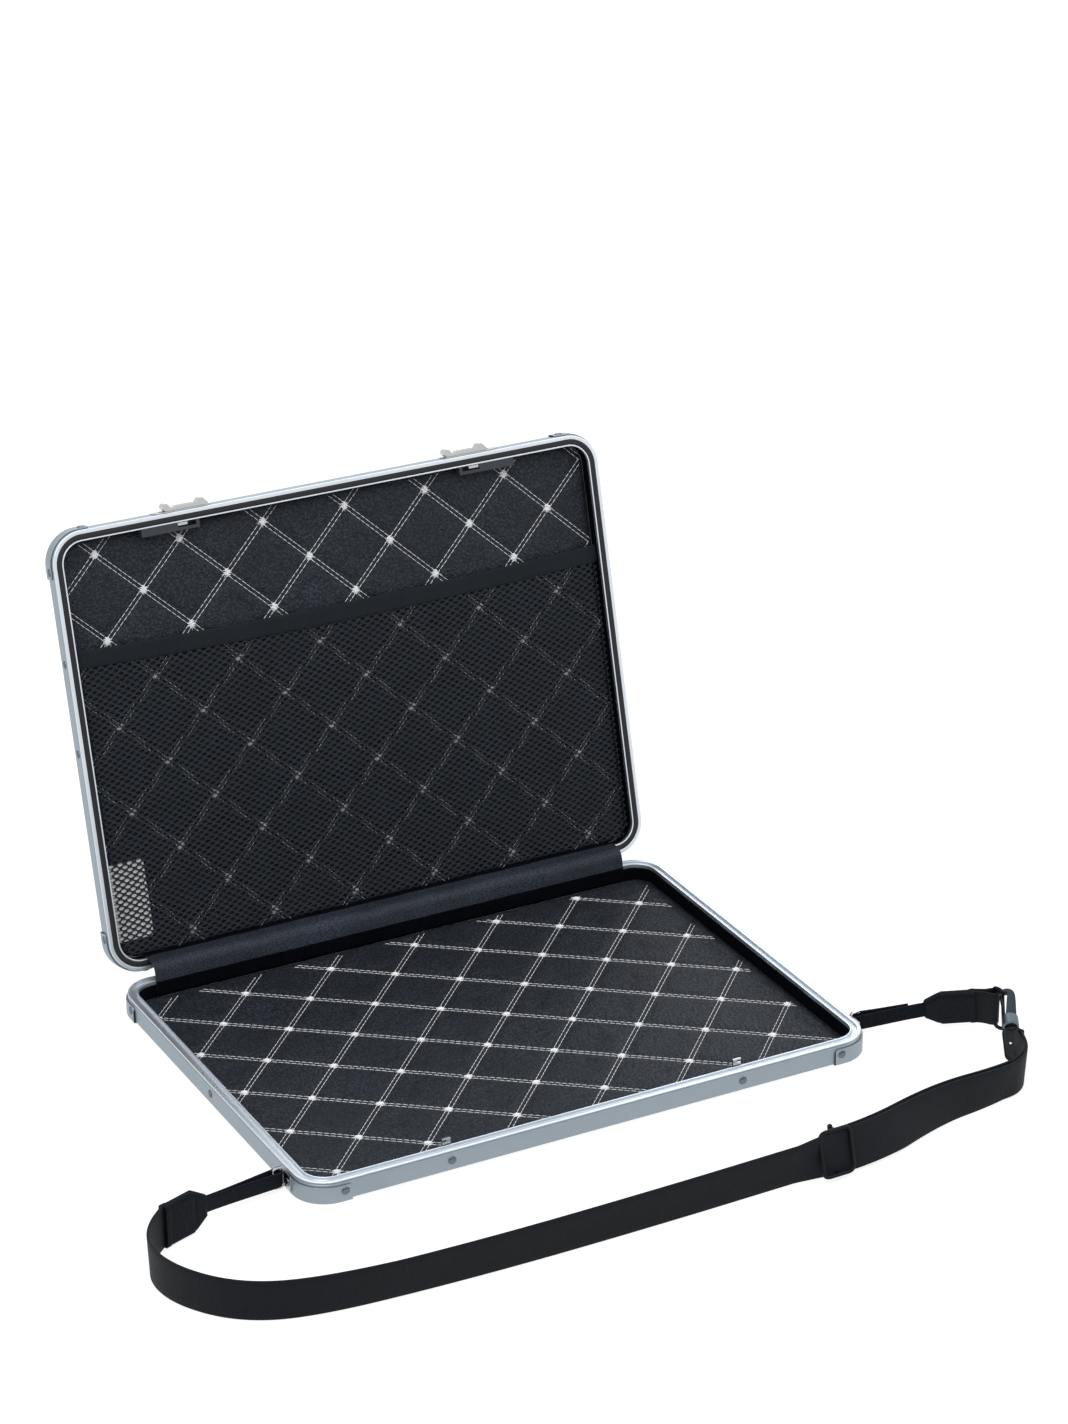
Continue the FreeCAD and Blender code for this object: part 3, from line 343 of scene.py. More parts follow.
# Thread. A strand's stops are its shares of length, thickness and rise.
stitch_pitch = 3.7
stitch_length = 3.4
stitch_radius = 0.19
stitch_gap = 1.15
stitch_margins = {"base": 5.0, "lid": 0.8}
tuft_margin = 5.0
tuft_strands = 6
tuft_radius = 0.42
tuft_half_length = 2.5
tuft_half_height = 2.0
tuft_round_share = 0.75
tuft_length_shares = (0.9, 1.1)
tuft_tilt = 0.4
tuft_rise = 0.8
tuft_crown_share = 1.1
tuft_tails = {"base": 2, "lid": 5}
tail_length = 3.7
tail_length_shares = (0.75, 1.1)
tail_turn_shares = (0.2, 0.8)
tail_radius_share = 0.8
thread_sides = 5
strand_shares = ((0.0, 0.35, 0.0), (0.2, 0.9, 0.65), (0.5, 1.0, 1.0), (0.8, 0.9, 0.65), (1.0, 0.35, 0.0))

# Lid pocket
pocket_half_width = half_width - rim_width - clear_gap
binding_width = 10.5
binding_sheet = 1.6
binding_end_y = -55.5
binding_sag = 3.7
binding_drop = 4.6
binding_steps = 90
net_sheet = 0.45
net_drop = 5.5
net_bottom_y = half_depth - 9.0
net_pitch_x = 5.8
net_pitch_y = 1.96
net_hole_shares = (0.55, 0.85)
net_wave = 0.25
net_wave_length = 38.0
label_width = 23.0
label_height = 46.0
label_sheet = 0.3
label_drop = 6.4
label_bottom_y = half_depth - 17.5
label_round = 2.0

# Hinge cover
cover_half_length = 153.5
cover_sheet = 0.9
cover_bulge = 3.0
cover_bend_share = 0.3
cover_tuck = 0.6
cover_columns = 120
cover_fold = 0.6
cover_fold_length = 15.0
cover_fold_drift = (25.0, 40.0)

# Strap
strap_width = 25.0
webbing_sheet = 1.5
strap_route = [
    (-256.5, -127.2, 12.8),
    (-275.0, -143.0, 12.8),
    (-276.0, -178.0, 12.8),
    (-250.0, -214.0, 12.8),
    (-205.0, -228.0, 12.8),
    (-115.0, -232.5, 12.8),
    (-15.0, -232.0, 12.8),
    (66.0, -232.0, 14.4),
    (112.0, -231.0, 14.4),
    (165.0, -213.0, 12.8),
    (203.0, -211.0, 12.8),
    (229.0, -206.0, 14.0),
    (234.5, -187.0, 15.0),
]
return_route = [
    (88.3, -229.0, 14.4),
    (111.5, -228.3, 14.4),
    (164.6, -210.3, 12.8),
    (202.6, -208.3, 12.8),
    (227.0, -203.0, 14.0),
    (231.5, -188.0, 15.0),
    (232.5, -184.5, 15.0),
    (235.5, -184.5, 15.0),
    (236.5, -187.0, 15.0),
    (234.5, -187.0, 15.0),
]
strap_leans = (
    (0.0, 0.0),
    (0.15, 6.0),
    (0.3, 12.0),
    (0.5, 10.0),
    (0.69, 9.0),
    (0.735, -10.0),
    (0.81, -12.0),
    (0.88, 2.0),
    (0.94, 12.0),
    (0.97, 4.0),
    (1.0, 0.0),
)
return_leans = ((0.0, -10.0), (0.29, -12.0), (0.55, 2.0), (0.78, 12.0), (0.87, 4.0), (0.93, 0.0), (1.0, 0.0))
upright = ((0.0, 0.0), (1.0, 0.0))
webbing_length = 0.60
return_length = 0.165
spline_steps = 16
ribbon_rows = 6
ribbon_edge_angles = (45, 90, 135)

# Strap tabs, end pieces, ring, slider and snap hook
lug_bars = {"left": (-182.1, -102.0, 7.0), "right": (182.1, -102.0, 7.0)}
tab_width = 9.0
tab_leather = 1.5
tab_spread = 2.7
tab_loop = 3.8
tab_touch = 0.8
tab_tuck = 3.0
tab_bend_share = 0.35
tab_free_share = 0.72
end_tips = {"left": (-228.0, -117.0, 12.8), "right": (216.0, -117.0, 12.8)}
end_mouths = {"left": (-256.5, -127.2, 12.8), "right": (241.0, -132.0, 15.6)}
end_leans = {"left": 0.0, "right": 23.0}
end_tip = 12.0
end_taper = 9.5
end_thickness = 5.0
end_round = 2.2
end_edge_share = 0.3
end_crease = 9.0
end_crease_depth = 0.35
end_crease_half = 0.8
end_lip = 3.2
end_lip_rise = 0.55
end_rows = 44
end_columns = 20
ring_near = (249.7, -138.0, 15.6)
ring_far = (251.6, -144.2, 15.6)
ring_lean = 21.0
ring_half_height = 13.2
ring_wire_radius = 1.1
ring_bend = 3.0
loop_spread = 2.2
slider_middle = (86.5, -231.2, 15.1)
slider_end = (112.0, -230.4, 15.1)
slider_lean = -14.0
slider_half_length = 9.6
slider_half_height = 12.5
slider_offset = 2.15
slider_bend = 4.0
slider_nub = 0.9
slider_bar_radius = 1.5
clip_start = (231.0, -187.0, 11.0)
clip_rise = 10.5
eye_length = 22.5
eye_half_width = 3.8
eye_wire_radius = 1.7
eye_plate = 2.2
eye_rivet_radius = 0.9
eye_rivet_height = 0.6
eye_rivet_place = (10.5, -1.4)
barrel_length = 8.0
barrel_radius = 4.6
barrel_round = 0.8
hook_plate = 3.4
hook_round = 0.5
hook_widths = ((0.0, 6.0), (0.35, 4.4), (0.6, 2.8), (1.0, 1.8))
hook_route = [(29.5, 0.6), (41.0, 1.6), (48.8, 2.4), (51.4, 0.2), (50.4, -3.0), (47.4, -4.2)]
gate_route = [(47.6, -4.0), (40.0, -3.4), (31.0, -2.6)]
gate_radius = 0.7
wire_sides = 14
wire_end_angles = (30, 60, 80)

# Camera and studio, in metres
camera_place = (-0.9382, -1.8467, 1.1387)
camera_turn = (65.578, 0.441, -27.852)
camera_lens = 104.65
sky_light = 0.55
floor_half = 6.0
floor_colour = (0.34, 0.34, 0.34)
floor_glow = 0.8
lamp_aim = Vector((0, 0, 0.08))
softboxes = {
    "key": ((-0.9, -0.9, 1.9), 1.4, 22.0),
    "fill": ((1.3, -0.6, 1.4), 1.2, 8.0),
    "back": ((0.5, 1.5, 1.6), 1.2, 10.0),
}

# Satin metals: colour, roughness, grain and spread of roughness
satin_metals = {
    "frame_aluminium": ((0.31, 0.36, 0.40), 0.42, 2600.0, 0.05),
    # The rim: the frame's aluminium, painted lighter as a highlight from the light above.
    "rim_aluminium": ((0.67, 0.72, 0.78), 0.36, 2600.0, 0.05),
    "cap_aluminium": ((0.31, 0.355, 0.395), 0.40, 2600.0, 0.05),
    # The caps' cut ends: painted shade, as dark as the shadow in the gap at the sheet's edge.
    "cut_aluminium": ((0.05, 0.055, 0.06), 0.5, 2600.0, 0.05),
    "rivet_steel": ((0.14, 0.155, 0.175), 0.13, 3500.0, 0.05),
    "chrome": ((0.52, 0.53, 0.53), 0.12, 900.0, 0.04),
    "spring_steel": ((0.42, 0.43, 0.45), 0.3, 3500.0, 0.05),
    "barrel_metal": ((0.125, 0.16, 0.19), 0.4, 2800.0, 0.05),
    "hook_metal": ((0.032, 0.041, 0.054), 0.36, 2800.0, 0.05),
}
# Brushed metals: colour, roughness and the pattern's scale for each axis
brushed_metals = {
    "panel_aluminium": ((0.40, 0.44, 0.47), 0.40, (14.0, 2600.0, 2600.0)),
    "hinge_steel": ((0.56, 0.58, 0.61), 0.34, (40.0, 3000.0, 3000.0)),
}
# Leathers and moulded finishes: colour, roughness, grain, relief in metres and gloss
leathers = {
    "liner_leather": ((0.0145, 0.017, 0.0255), 0.46, 620.0, 0.00025, 0.34),
    "lining_leather": ((0.0025, 0.003, 0.0055), 0.62, 1100.0, 0.00005, 0.05),
    "cover_leather": ((0.0225, 0.027, 0.042), 0.46, 1300.0, 0.00005, 0.35),
    "strap_leather": ((0.0056, 0.0078, 0.0122), 0.5, 1500.0, 0.00004, 0.12),
}
moulded_finishes = {
    "housing_plastic": ((0.030, 0.037, 0.047), 0.42, 5200.0, 0.00002, 0.4),
    "gasket_rubber": ((0.008, 0.008, 0.010), 0.6, 3000.0, 0.00002, 0.4),
    "strap_metal": ((0.005, 0.006, 0.008), 0.34, 2500.0, 0.00001, 0.14),
}
# Fabrics: colour, ribs along, ribs across and relief in metres
fabrics = {
    "net_fabric": ((0.019, 0.0225, 0.029), 400.0, 900.0, 0.00008),
    "binding_fabric": ((0.0085, 0.011, 0.0145), 260.0, 330.0, 0.00012),
    "webbing_fabric": ((0.0062, 0.0082, 0.0108), 260.0, 420.0, 0.00012),
}
# Other finishes, with their reliefs in metres
satin_relief = 0.00002
brushed_relief = 0.00003
thread_relief = 0.00006
card_relief = 0.00003
card_white = (0.93, 0.93, 0.93)
thread_white = (0.90, 0.92, 0.94)
cool_white = (0.8, 0.9, 1.0, 1.0)

# Shapes
x_axis = Vector((1, 0, 0))
y_axis = Vector((0, 1, 0))
z_axis = Vector((0, 0, 1))
halves = {"base": (base_rim_z, -1, base_wall_height), "lid": (lid_rim_z, 1, lid_wall_height)}
lid_turn = (
    Matrix.Translation(hinge_axis)
    @ Matrix.Rotation(math.radians(-open_angle), 4, "X")
    @ Matrix.Translation(-hinge_axis)
)


class Shape:
    """Points and faces of a mesh in millimetres, with a place along and across for each point."""

    def __init__(self):
        self.points = []
        self.places = []
        self.faces = []

    def add(self, point, place=(0.0, 0.0)):
        self.points.append(Vector(point))
        self.places.append(place)
        return len(self.points) - 1

    def circle(self, middle, across, up, radius, sides):
        """A ring of points round a middle."""
        turns = [2 * math.pi * k / sides for k in range(sides)]
        return [self.add(middle + (across * math.cos(turn) + up * math.sin(turn)) * radius) for turn in turns]

    def strip(self, ring_a, ring_b, closed=True):
        """Quads between two rows of points."""
        count = len(ring_a)
        for i in range(count if closed else count - 1):
            j = (i + 1) % count
            self.faces.append((ring_a[i], ring_a[j], ring_b[j], ring_b[i]))

    def grid(self, rows):
        """Quads between each row of points and the next."""
        for row_a, row_b in zip(rows, rows[1:]):
            self.strip(row_a, row_b, closed=False)

    def tube(self, rings, closed=False):
        """Rings of points joined one to the next, with flat ends unless it closes on itself."""
        for ring_a, ring_b in zip(rings, rings[1:] + rings[:1] if closed else rings[1:]):
            self.strip(ring_a, ring_b)
        if not closed:
            self.faces.append(tuple(reversed(rings[0])))
            self.faces.append(tuple(rings[-1]))
        return self

    def turned(self, matrix):
        self.points = [matrix @ point for point in self.points]
        return self


def tube_of(rings, closed=False):
    """A tube through rings of points."""
    shape = Shape()
    return shape.tube([[shape.add(point) for point in ring] for ring in rings], closed)


def placed(name, data):
    """A new object in the scene."""
    thing = bpy.data.objects.new(name, data)
    bpy.context.scene.collection.objects.link(thing)
    return thing


def facing_out(mesh):
    """All faces of a closed mesh turned to look outwards."""
    sides = bmesh.new()
    sides.from_mesh(mesh)
    bmesh.ops.recalc_face_normals(sides, faces=sides.faces)
    sides.to_mesh(mesh)
    sides.free()


def meshed(name, shape, surface, sharp):
    """An object from a shape, smooth but for edges that are sharper than an angle."""
    mesh = bpy.data.meshes.new(name)
    mesh.from_pydata([point * mm for point in shape.points], [], shape.faces)
    facing_out(mesh)
    layer = mesh.uv_layers.new(name="along_across")
    for loop in mesh.loops:
        layer.data[loop.index].uv = Vector(shape.places[loop.vertex_index]) * mm
    mesh.shade_smooth()
    mesh.set_sharp_from_angle(angle=math.radians(sharp))
    mesh.materials.append(surfaces[surface])
    return placed(name, mesh)


def made(name, shape, slot, body, node=None, sharp=sharp_angle, surface=None):
    """A piece of the model that rides on a body and may stand for a CAD node. The lid's are drawn closed."""
    if body == "lid":
        shape.turned(lid_turn)
    piece = meshed(name, shape, surface or slot, sharp)
    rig.ride(piece, body)
    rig.slot(piece, slot)
    if node:
        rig.replaces(piece, node)
    return piece


def second_surface(piece, surface, faces):
    """Another finish on some faces of a piece."""
    piece.data.materials.append(surfaces[surface])
    for i in faces:
        piece.data.polygons[i].material_index = 1


def rounded(corners, radius, steps=round_steps):
    """A closed outline in the plane with each corner made round, as far as its sides are long enough."""
    radii = radius if isinstance(radius, list) else [radius] * len(corners)
    outline = []
    for i, (corner, bend) in enumerate(zip(corners, radii)):
        here = Vector(corner)
        before = Vector(corners[i - 1]) - here
        after = Vector(corners[(i + 1) % len(corners)]) - here
        turn = math.pi - before.angle(after)
        longest = min(before.length, after.length) * longest_round_share
        back = min(bend * math.tan(turn / 2), longest)
        start = here + before.normalized() * back
        end = here + after.normalized() * back
        for k in range(steps + 1):
            share = k / steps
            outline.append(start.lerp(here, share).lerp(here.lerp(end, share), share))
    return outline


def oblong(half_x, half_y):
    """The corners of a rectangle round the origin."""
    return [(sx * half_x, sy * half_y) for sx, sy in ((-1, -1), (1, -1), (1, 1), (-1, 1))]


def rim_samples():
    """The outer outline of the case, counter-clockwise: a point and its outward direction."""
    for sx, sy, start in ((1, 1, 0), (-1, 1, 90), (-1, -1, 180), (1, -1, 270)):
        middle = Vector((sx * (half_width - corner_radius), sy * (half_depth - corner_radius), 0))
        for i in range(corner_steps + 1):
            turn = math.radians(start + 90 * i / corner_steps)
            out = Vector((math.cos(turn), math.sin(turn), 0))
            yield middle + out * corner_radius, out


def section_at(section, half, point, out):
    """A section of inset and drop, set at a point of the case's outline."""
    rim_z, into, _ = halves[half]
    return [point - out * inset + z_axis * (rim_z + into * drop) for inset, drop in section]


def rim_ring(section, half):
    """A section taken all round one half of the case."""
    return tube_of([section_at(section, half, point, out) for point, out in rim_samples()], closed=True)


def along_at(line, i):
    """The direction of a line of points at one of them."""
    return (line[min(i + 1, len(line) - 1)] - line[max(i - 1, 0)]).normalized()


# Materials
surfaces = {}


class Surface:
    """A material: its shader, and short ways to add nodes to it."""

    def __init__(self, name, colour, roughness, metallic=0.0, **sockets):
        self.material = bpy.data.materials.new(name)
        self.material.use_nodes = True
        self.tree = self.material.node_tree
        self.shader = self.tree.nodes["Principled BSDF"]
        self.shader.inputs["Base Color"].default_value = (*colour, 1)
        self.shader.inputs["Roughness"].default_value = roughness
        self.shader.inputs["Metallic"].default_value = metallic
        for socket, value in sockets.items():
            self.shader.inputs[socket.replace("_", " ")].default_value = value
        self.colour = colour
        self.where = self.node("ShaderNodeTexCoord").outputs
        surfaces[name] = self.material

    def node(self, kind, settings=None, **values):
        node = self.tree.nodes.new(kind)
        for key, value in (settings or {}).items():
            setattr(node, key, value)
        for socket, value in values.items():
            node.inputs[socket.replace("_", " ")].default_value = value
        return node

    def link(self, source, target):
        self.tree.links.new(source, target)

    def stretched(self, scale):
        """Coordinates multiplied by a scale for each axis."""
        node = self.node("ShaderNodeMapping", Scale=scale)
        self.link(self.where["Object"], node.inputs["Vector"])
        return node.outputs["Vector"]

    def noise(self, scale, detail=3.0, vector=None):
        node = self.node("ShaderNodeTexNoise", Scale=scale, Detail=detail)
        self.link(vector or self.where["Object"], node.inputs["Vector"])
        return node.outputs["Fac"]

    def cells(self, scale, feature="F1"):
        node = self.node("ShaderNodeTexVoronoi", {"feature": feature}, Scale=scale)
        self.link(self.where["Object"], node.inputs["Vector"])
        return node.outputs["Distance"]

    def waves(self, scale, direction):
        node = self.node("ShaderNodeTexWave", {"bands_direction": direction}, Scale=scale)
        self.link(self.where["UV"], node.inputs["Vector"])
        return node.outputs["Fac"]

    def between(self, source, low, high, from_low=0.0, from_high=1.0):
        node = self.node("ShaderNodeMapRange", From_Min=from_low, From_Max=from_high, To_Min=low, To_Max=high)
        self.link(source, node.inputs["Value"])
        return node.outputs["Result"]

    def joined(self, first, second, operation="MULTIPLY"):
        node = self.node("ShaderNodeMath", {"operation": operation})
        self.link(first, node.inputs[0])
        self.link(second, node.inputs[1])
        return node.outputs["Value"]

    def shaded(self, source, dark_share, light_share):
        """The colour, darker and lighter by a pattern."""
        ramp = self.node("ShaderNodeValToRGB")
        for stop, share in zip(ramp.color_ramp.elements, (dark_share, light_share)):
            stop.color = (*[min(1.0, part * share) for part in self.colour], 1)
        self.link(source, ramp.inputs["Fac"])
        self.link(ramp.outputs["Color"], self.shader.inputs["Base Color"])

    def rough(self, source, low, high):
        self.link(self.between(source, low, high), self.shader.inputs["Roughness"])

    def bumped(self, height, distance, strength=1.0):
        """One more layer of relief, its height in metres."""
        node = self.node("ShaderNodeBump", Distance=distance, Strength=strength)
        self.link(height, node.inputs["Height"])
        normal = self.shader.inputs["Normal"]
        if normal.is_linked:
            self.link(normal.links[0].from_socket, node.inputs["Normal"])
        self.link(node.outputs["Normal"], normal)


def satin_metal(name, colour, roughness, grain, spread):
    """Anodised or plated metal with a fine grain and faint clouds of wear."""
    surface = Surface(name, colour, roughness, metallic=1.0)
    clouds = surface.noise(18.0, 4.0)
    surface.shaded(clouds, 0.93, 1.05)
    fine = surface.noise(grain, 2.0)
    surface.rough(surface.joined(fine, clouds, "ADD"), roughness - spread, roughness + spread)
    surface.bumped(fine, satin_relief, 0.35)


def brushed_metal(name, colour, roughness, scale):
    """Rolled sheet with faint lines along X."""
    surface = Surface(name, colour, roughness, metallic=1.0)
    lines = surface.noise(1.0, 4.0, surface.stretched(scale))
    surface.shaded(lines, 0.92, 1.06)
    surface.rough(lines, roughness - 0.07, roughness + 0.07)
    surface.bumped(lines, brushed_relief, 0.3)


def leather(name, colour, roughness, grain, relief, gloss):
    """Grained leatherette: pebbles between creases, each pebble's crown painted lighter, partly grain tone and partly a
    painted highlight.
    """
    surface = Surface(name, colour, roughness, Specular_IOR_Level=gloss, Specular_Tint=cool_white)
    pebbles = surface.cells(grain)
    creases = surface.cells(grain * 0.55, "DISTANCE_TO_EDGE")
    clouds = surface.noise(22.0, 4.0)
    painted_highlight_tops = surface.between(pebbles, 1.0, 0.0, 0.05, 0.6)
    # Pebble crowns are painted lighter: grain tone with a painted highlight, in clouds of uneven tone.
    surface.shaded(surface.joined(painted_highlight_tops, surface.between(clouds, 0.3, 1.3, 0.25, 0.75)), 0.3, 2.4)
    surface.rough(surface.joined(pebbles, clouds, "ADD"), roughness - 0.08, roughness + 0.14)
    surface.bumped(pebbles, -relief)
    surface.bumped(surface.between(creases, 0.0, 1.0, 0.0, 0.12), relief)
    surface.bumped(surface.noise(grain * 3.0, 3.0), relief * 0.3)


def woven(name, colour, rib, across_rib, relief):
    """Flat woven webbing: ribs across its width, broken by the warp threads along it."""
    surface = Surface(name, colour, 0.72, Specular_IOR_Level=0.12, Sheen_Weight=0.04, Sheen_Roughness=0.5)
    weave = surface.joined(surface.waves(rib, "X"), surface.waves(across_rib, "Y"))
    surface.shaded(surface.joined(weave, surface.noise(60.0, 3.0), "ADD"), 0.55, 1.5)
    surface.rough(weave, 0.6, 0.82)
    surface.bumped(weave, relief)
    surface.bumped(surface.noise(4000.0, 2.0), relief * 0.3)


def moulded(name, colour, roughness, grain, relief, gloss):
    """Moulded plastic, rubber or black enamel with a fine spark texture."""
    surface = Surface(name, colour, roughness, Specular_IOR_Level=gloss)
    fine = surface.noise(grain, 3.0)
    surface.shaded(surface.joined(fine, surface.noise(25.0, 3.0)), 0.7, 1.6)
    surface.rough(fine, roughness - 0.08, roughness + 0.1)
    surface.bumped(fine, relief)


def thread(name, colour):
    """Twisted sewing thread."""
    surface = Surface(name, colour, 0.55, Sheen_Weight=0.2)
    fibres = surface.noise(5000.0, 2.0)
    surface.shaded(surface.joined(fibres, surface.noise(130.0, 3.0), "ADD"), 0.75, 1.05)
    surface.bumped(fibres, thread_relief)


def card(name, colour):
    """Plain matt card."""
    surface = Surface(name, colour, 0.7)
    surface.shaded(surface.noise(400.0, 5.0), 0.9, 1.03)
    surface.bumped(surface.noise(2500.0, 3.0), card_relief)


finishes = (
    (satin_metal, satin_metals),
    (brushed_metal, brushed_metals),
    (leather, leathers),
    (moulded, moulded_finishes),
    (woven, fabrics),
)
for finish, table in finishes:
    for name, values in table.items():
        finish(name, *values)
card("label_card", card_white)
thread("white_thread", thread_white)
for entry in frame["record"]["subparts"]:
    node = frame["nodes"][entry["node"]]
    node.data.materials.clear()
    node.data.materials.append(surfaces[entry["material_slot"]])


# Strap
def smooth_line(points):
    """Points along the NURBS curve that has a route as its control points."""
    curve = bpy.data.curves.new("route", "CURVE")
    curve.dimensions = "3D"
    curve.resolution_u = spline_steps
    spline = curve.splines.new("NURBS")
    spline.points.add(len(points) - 1)
    for place, point in zip(spline.points, points):
        place.co = (*point, 1)
    spline.order_u = 3
    spline.use_endpoint_u = True
    holder = placed("route", curve)
    bpy.context.view_layer.update()
    mesh = bpy.data.meshes.new_from_object(holder)
    line = [vertex.co.copy() for vertex in mesh.vertices]
    bpy.data.objects.remove(holder)
    bpy.data.curves.remove(curve)
    bpy.data.meshes.remove(mesh)
    return line


def flat_line(points):
    """The smooth curve of a route in the plane."""
    return smooth_line([(x, y, 0) for x, y in points])


def between_stops(stops, share):
    """A value that changes evenly from stop to stop."""
    for (share_a, value_a), (share_b, value_b) in zip(stops, stops[1:]):
        if share <= share_b:
            return value_a + (value_b - value_a) * (share - share_a) / (share_b - share_a)
    return stops[-1][1]


def strip_section(width, sheet):
    """The outline of a flat strip's section with round edges: across its thickness and its width."""
    flat = width / 2 - sheet / 2
    outline = []
    for side in (1, -1):
        for i in range(ribbon_rows + 1):
            outline.append((side * sheet / 2, side * flat * (2 * i / ribbon_rows - 1)))
        for angle in map(math.radians, ribbon_edge_angles):
            outline.append((side * sheet / 2 * math.cos(angle), side * (flat + sheet / 2 * math.sin(angle))))
    return outline


def ribbon(line, width, sheet, leans=upright, lowered=True):
    """A flat strip on edge along a line. It leans to its right side, and then sinks to stay on the floor."""
    shape = Shape()
    section = strip_section(width, sheet)
    rings = []
    middles = []
    walked = 0.0
    total = sum((b - a).length for a, b in zip(line, line[1:]))
    for i, point in enumerate(line):
        if i:
            walked += (point - line[i - 1]).length
        left = z_axis.cross(along_at(line, i)).normalized()
        lean = math.radians(between_stops(leans, walked / total))
        up = z_axis * math.cos(lean) - left * math.sin(lean)
        side = left * math.cos(lean) + z_axis * math.sin(lean)
        middle = point - z_axis * (width / 2 * (1 - math.cos(lean)) if lowered else 0)
        middles.append(middle)
        rings.append([shape.add(middle + side * a + up * b, (walked, b)) for a, b in section])
    return shape.tube(rings), middles


def strap_cord(node, route, leans):
    shape, middles = ribbon(smooth_line(route), strap_width, webbing_sheet, leans)
    piece = made(node + "_woven", shape, "webbing_fabric", "base", node)
    return piece, [middle * mm for middle in middles]


webbing, webbing_path = strap_cord("strap_webbing", strap_route, strap_leans)
doubled, doubled_path = strap_cord("strap_return", return_route, return_leans)

# Camera, light and floor
camera = placed("camera", bpy.data.cameras.new("camera"))
camera.data.lens = camera_lens
camera.location = camera_place
camera.rotation_euler = [math.radians(angle) for angle in camera_turn]
bpy.context.scene.camera = camera
bpy.context.scene.view_settings.view_transform = "Standard"


def seen_directly(tree):
    """1 for rays from the camera, from reflections and through glass, and 0 for the light on the object."""
    path = tree.nodes.new("ShaderNodeLightPath")
    total = path.outputs["Is Camera Ray"]
    for output in ("Is Glossy Ray", "Is Transmission Ray"):
        add = tree.nodes.new("ShaderNodeMath")
        add.operation = "MAXIMUM"
        tree.links.new(total, add.inputs[0])
        tree.links.new(path.outputs[output], add.inputs[1])
        total = add.outputs["Value"]
    return total


world = bpy.data.worlds.new("studio")
bpy.context.scene.world = world
world.use_nodes = True
sky = world.node_tree.nodes["Background"]
sky.inputs["Color"].default_value = (1, 1, 1, 1)
sky_range = world.node_tree.nodes.new("ShaderNodeMapRange")
sky_range.inputs["To Min"].default_value = sky_light
sky_range.inputs["To Max"].default_value = 1.0
world.node_tree.links.new(seen_directly(world.node_tree), sky_range.inputs["Value"])
world.node_tree.links.new(sky_range.outputs["Result"], sky.inputs["Strength"])

paper = Surface("studio_floor", floor_colour, 1.0, Specular_IOR_Level=0.0)
paper.shaded(paper.noise(3.0, 2.0), 0.995, 1.005)
paper.shader.inputs["Emission Color"].default_value = (1, 1, 1, 1)
glow = paper.between(seen_directly(paper.tree), 0.0, floor_glow)
paper.link(glow, paper.shader.inputs["Emission Strength"])
floor = placed("floor", bpy.data.meshes.new("floor"))
floor.data.from_pydata([(x, y, 0) for x, y in oblong(floor_half, floor_half)], [], [(0, 1, 2, 3)])
floor.data.materials.append(paper.material)
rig.stage(floor)

for name, (place, size, power) in softboxes.items():
    lamp = placed(name, bpy.data.lights.new(name, "AREA"))
    lamp.data.size = size
    lamp.data.energy = power
    lamp.location = place
    lamp.rotation_euler = (lamp_aim - Vector(place)).to_track_quat("-Z", "Y").to_euler()


# Frames, linings and gasket
def frame_section(depth):
    groove_in = shoulder_width + groove_width
    return [
        (0, depth),
        (0, line_drop + line_half),
        (line_depth, line_drop),
        (0, line_drop - line_half),
        (0, 0),
        (shoulder_width, 0),
        (shoulder_width, groove_depth),
        (groove_in, groove_depth),
        (groove_in, 0),
        (rim_width, 0),
        (rim_width, rim_height),
        (frame_wall, rim_height),
        (frame_wall, depth - ledge_thickness),
        (ledge_width, depth - ledge_thickness),
        (ledge_width, depth),
    ]


def banded(start, end, top, bottom):
    """The corners of a section between two insets and two drops."""
    return [(start, top), (end, top), (end, bottom), (start, bottom)]


# The rim's upward faces, from the section's outer top corner to the foot of its lip, take the lighter rim finish: the
# frame's aluminium with a painted highlight from the light above.
rim_corner = 4
lip_corner = 10
for half, (_, _, depth) in halves.items():
    corners = frame_section(depth)
    radii = [edge_round] * len(corners)
    radii[rim_corner] = shoulder_round
    section = rounded(corners, radii)
    piece = made(half + "_frame_smooth", rim_ring(section, half), "frame_aluminium", half, half + "_frame")
    painted_highlight_band = range(rim_corner * (round_steps + 1), lip_corner * (round_steps + 1))
    faces = [i for i in range(len(piece.data.polygons)) if i % len(section) in painted_highlight_band]
    second_surface(piece, "rim_aluminium", faces)
    corners = banded(rim_width - lining_board, rim_width, rim_height + bond_gap, depth - ledge_thickness)
    shape = rim_ring(rounded(corners, lining_round), half)
    made(half + "_lining_covered", shape, "lining_leather", half, half + "_side_lining")

groove_end = shoulder_width + groove_width - bond_gap
corners = banded(groove_end, shoulder_width + bond_gap, groove_depth - bond_gap, -gasket_proud)
made("lid_gasket_bead", rim_ring(rounded(corners, gasket_round), "lid"), "gasket_rubber", "lid", "lid_gasket")


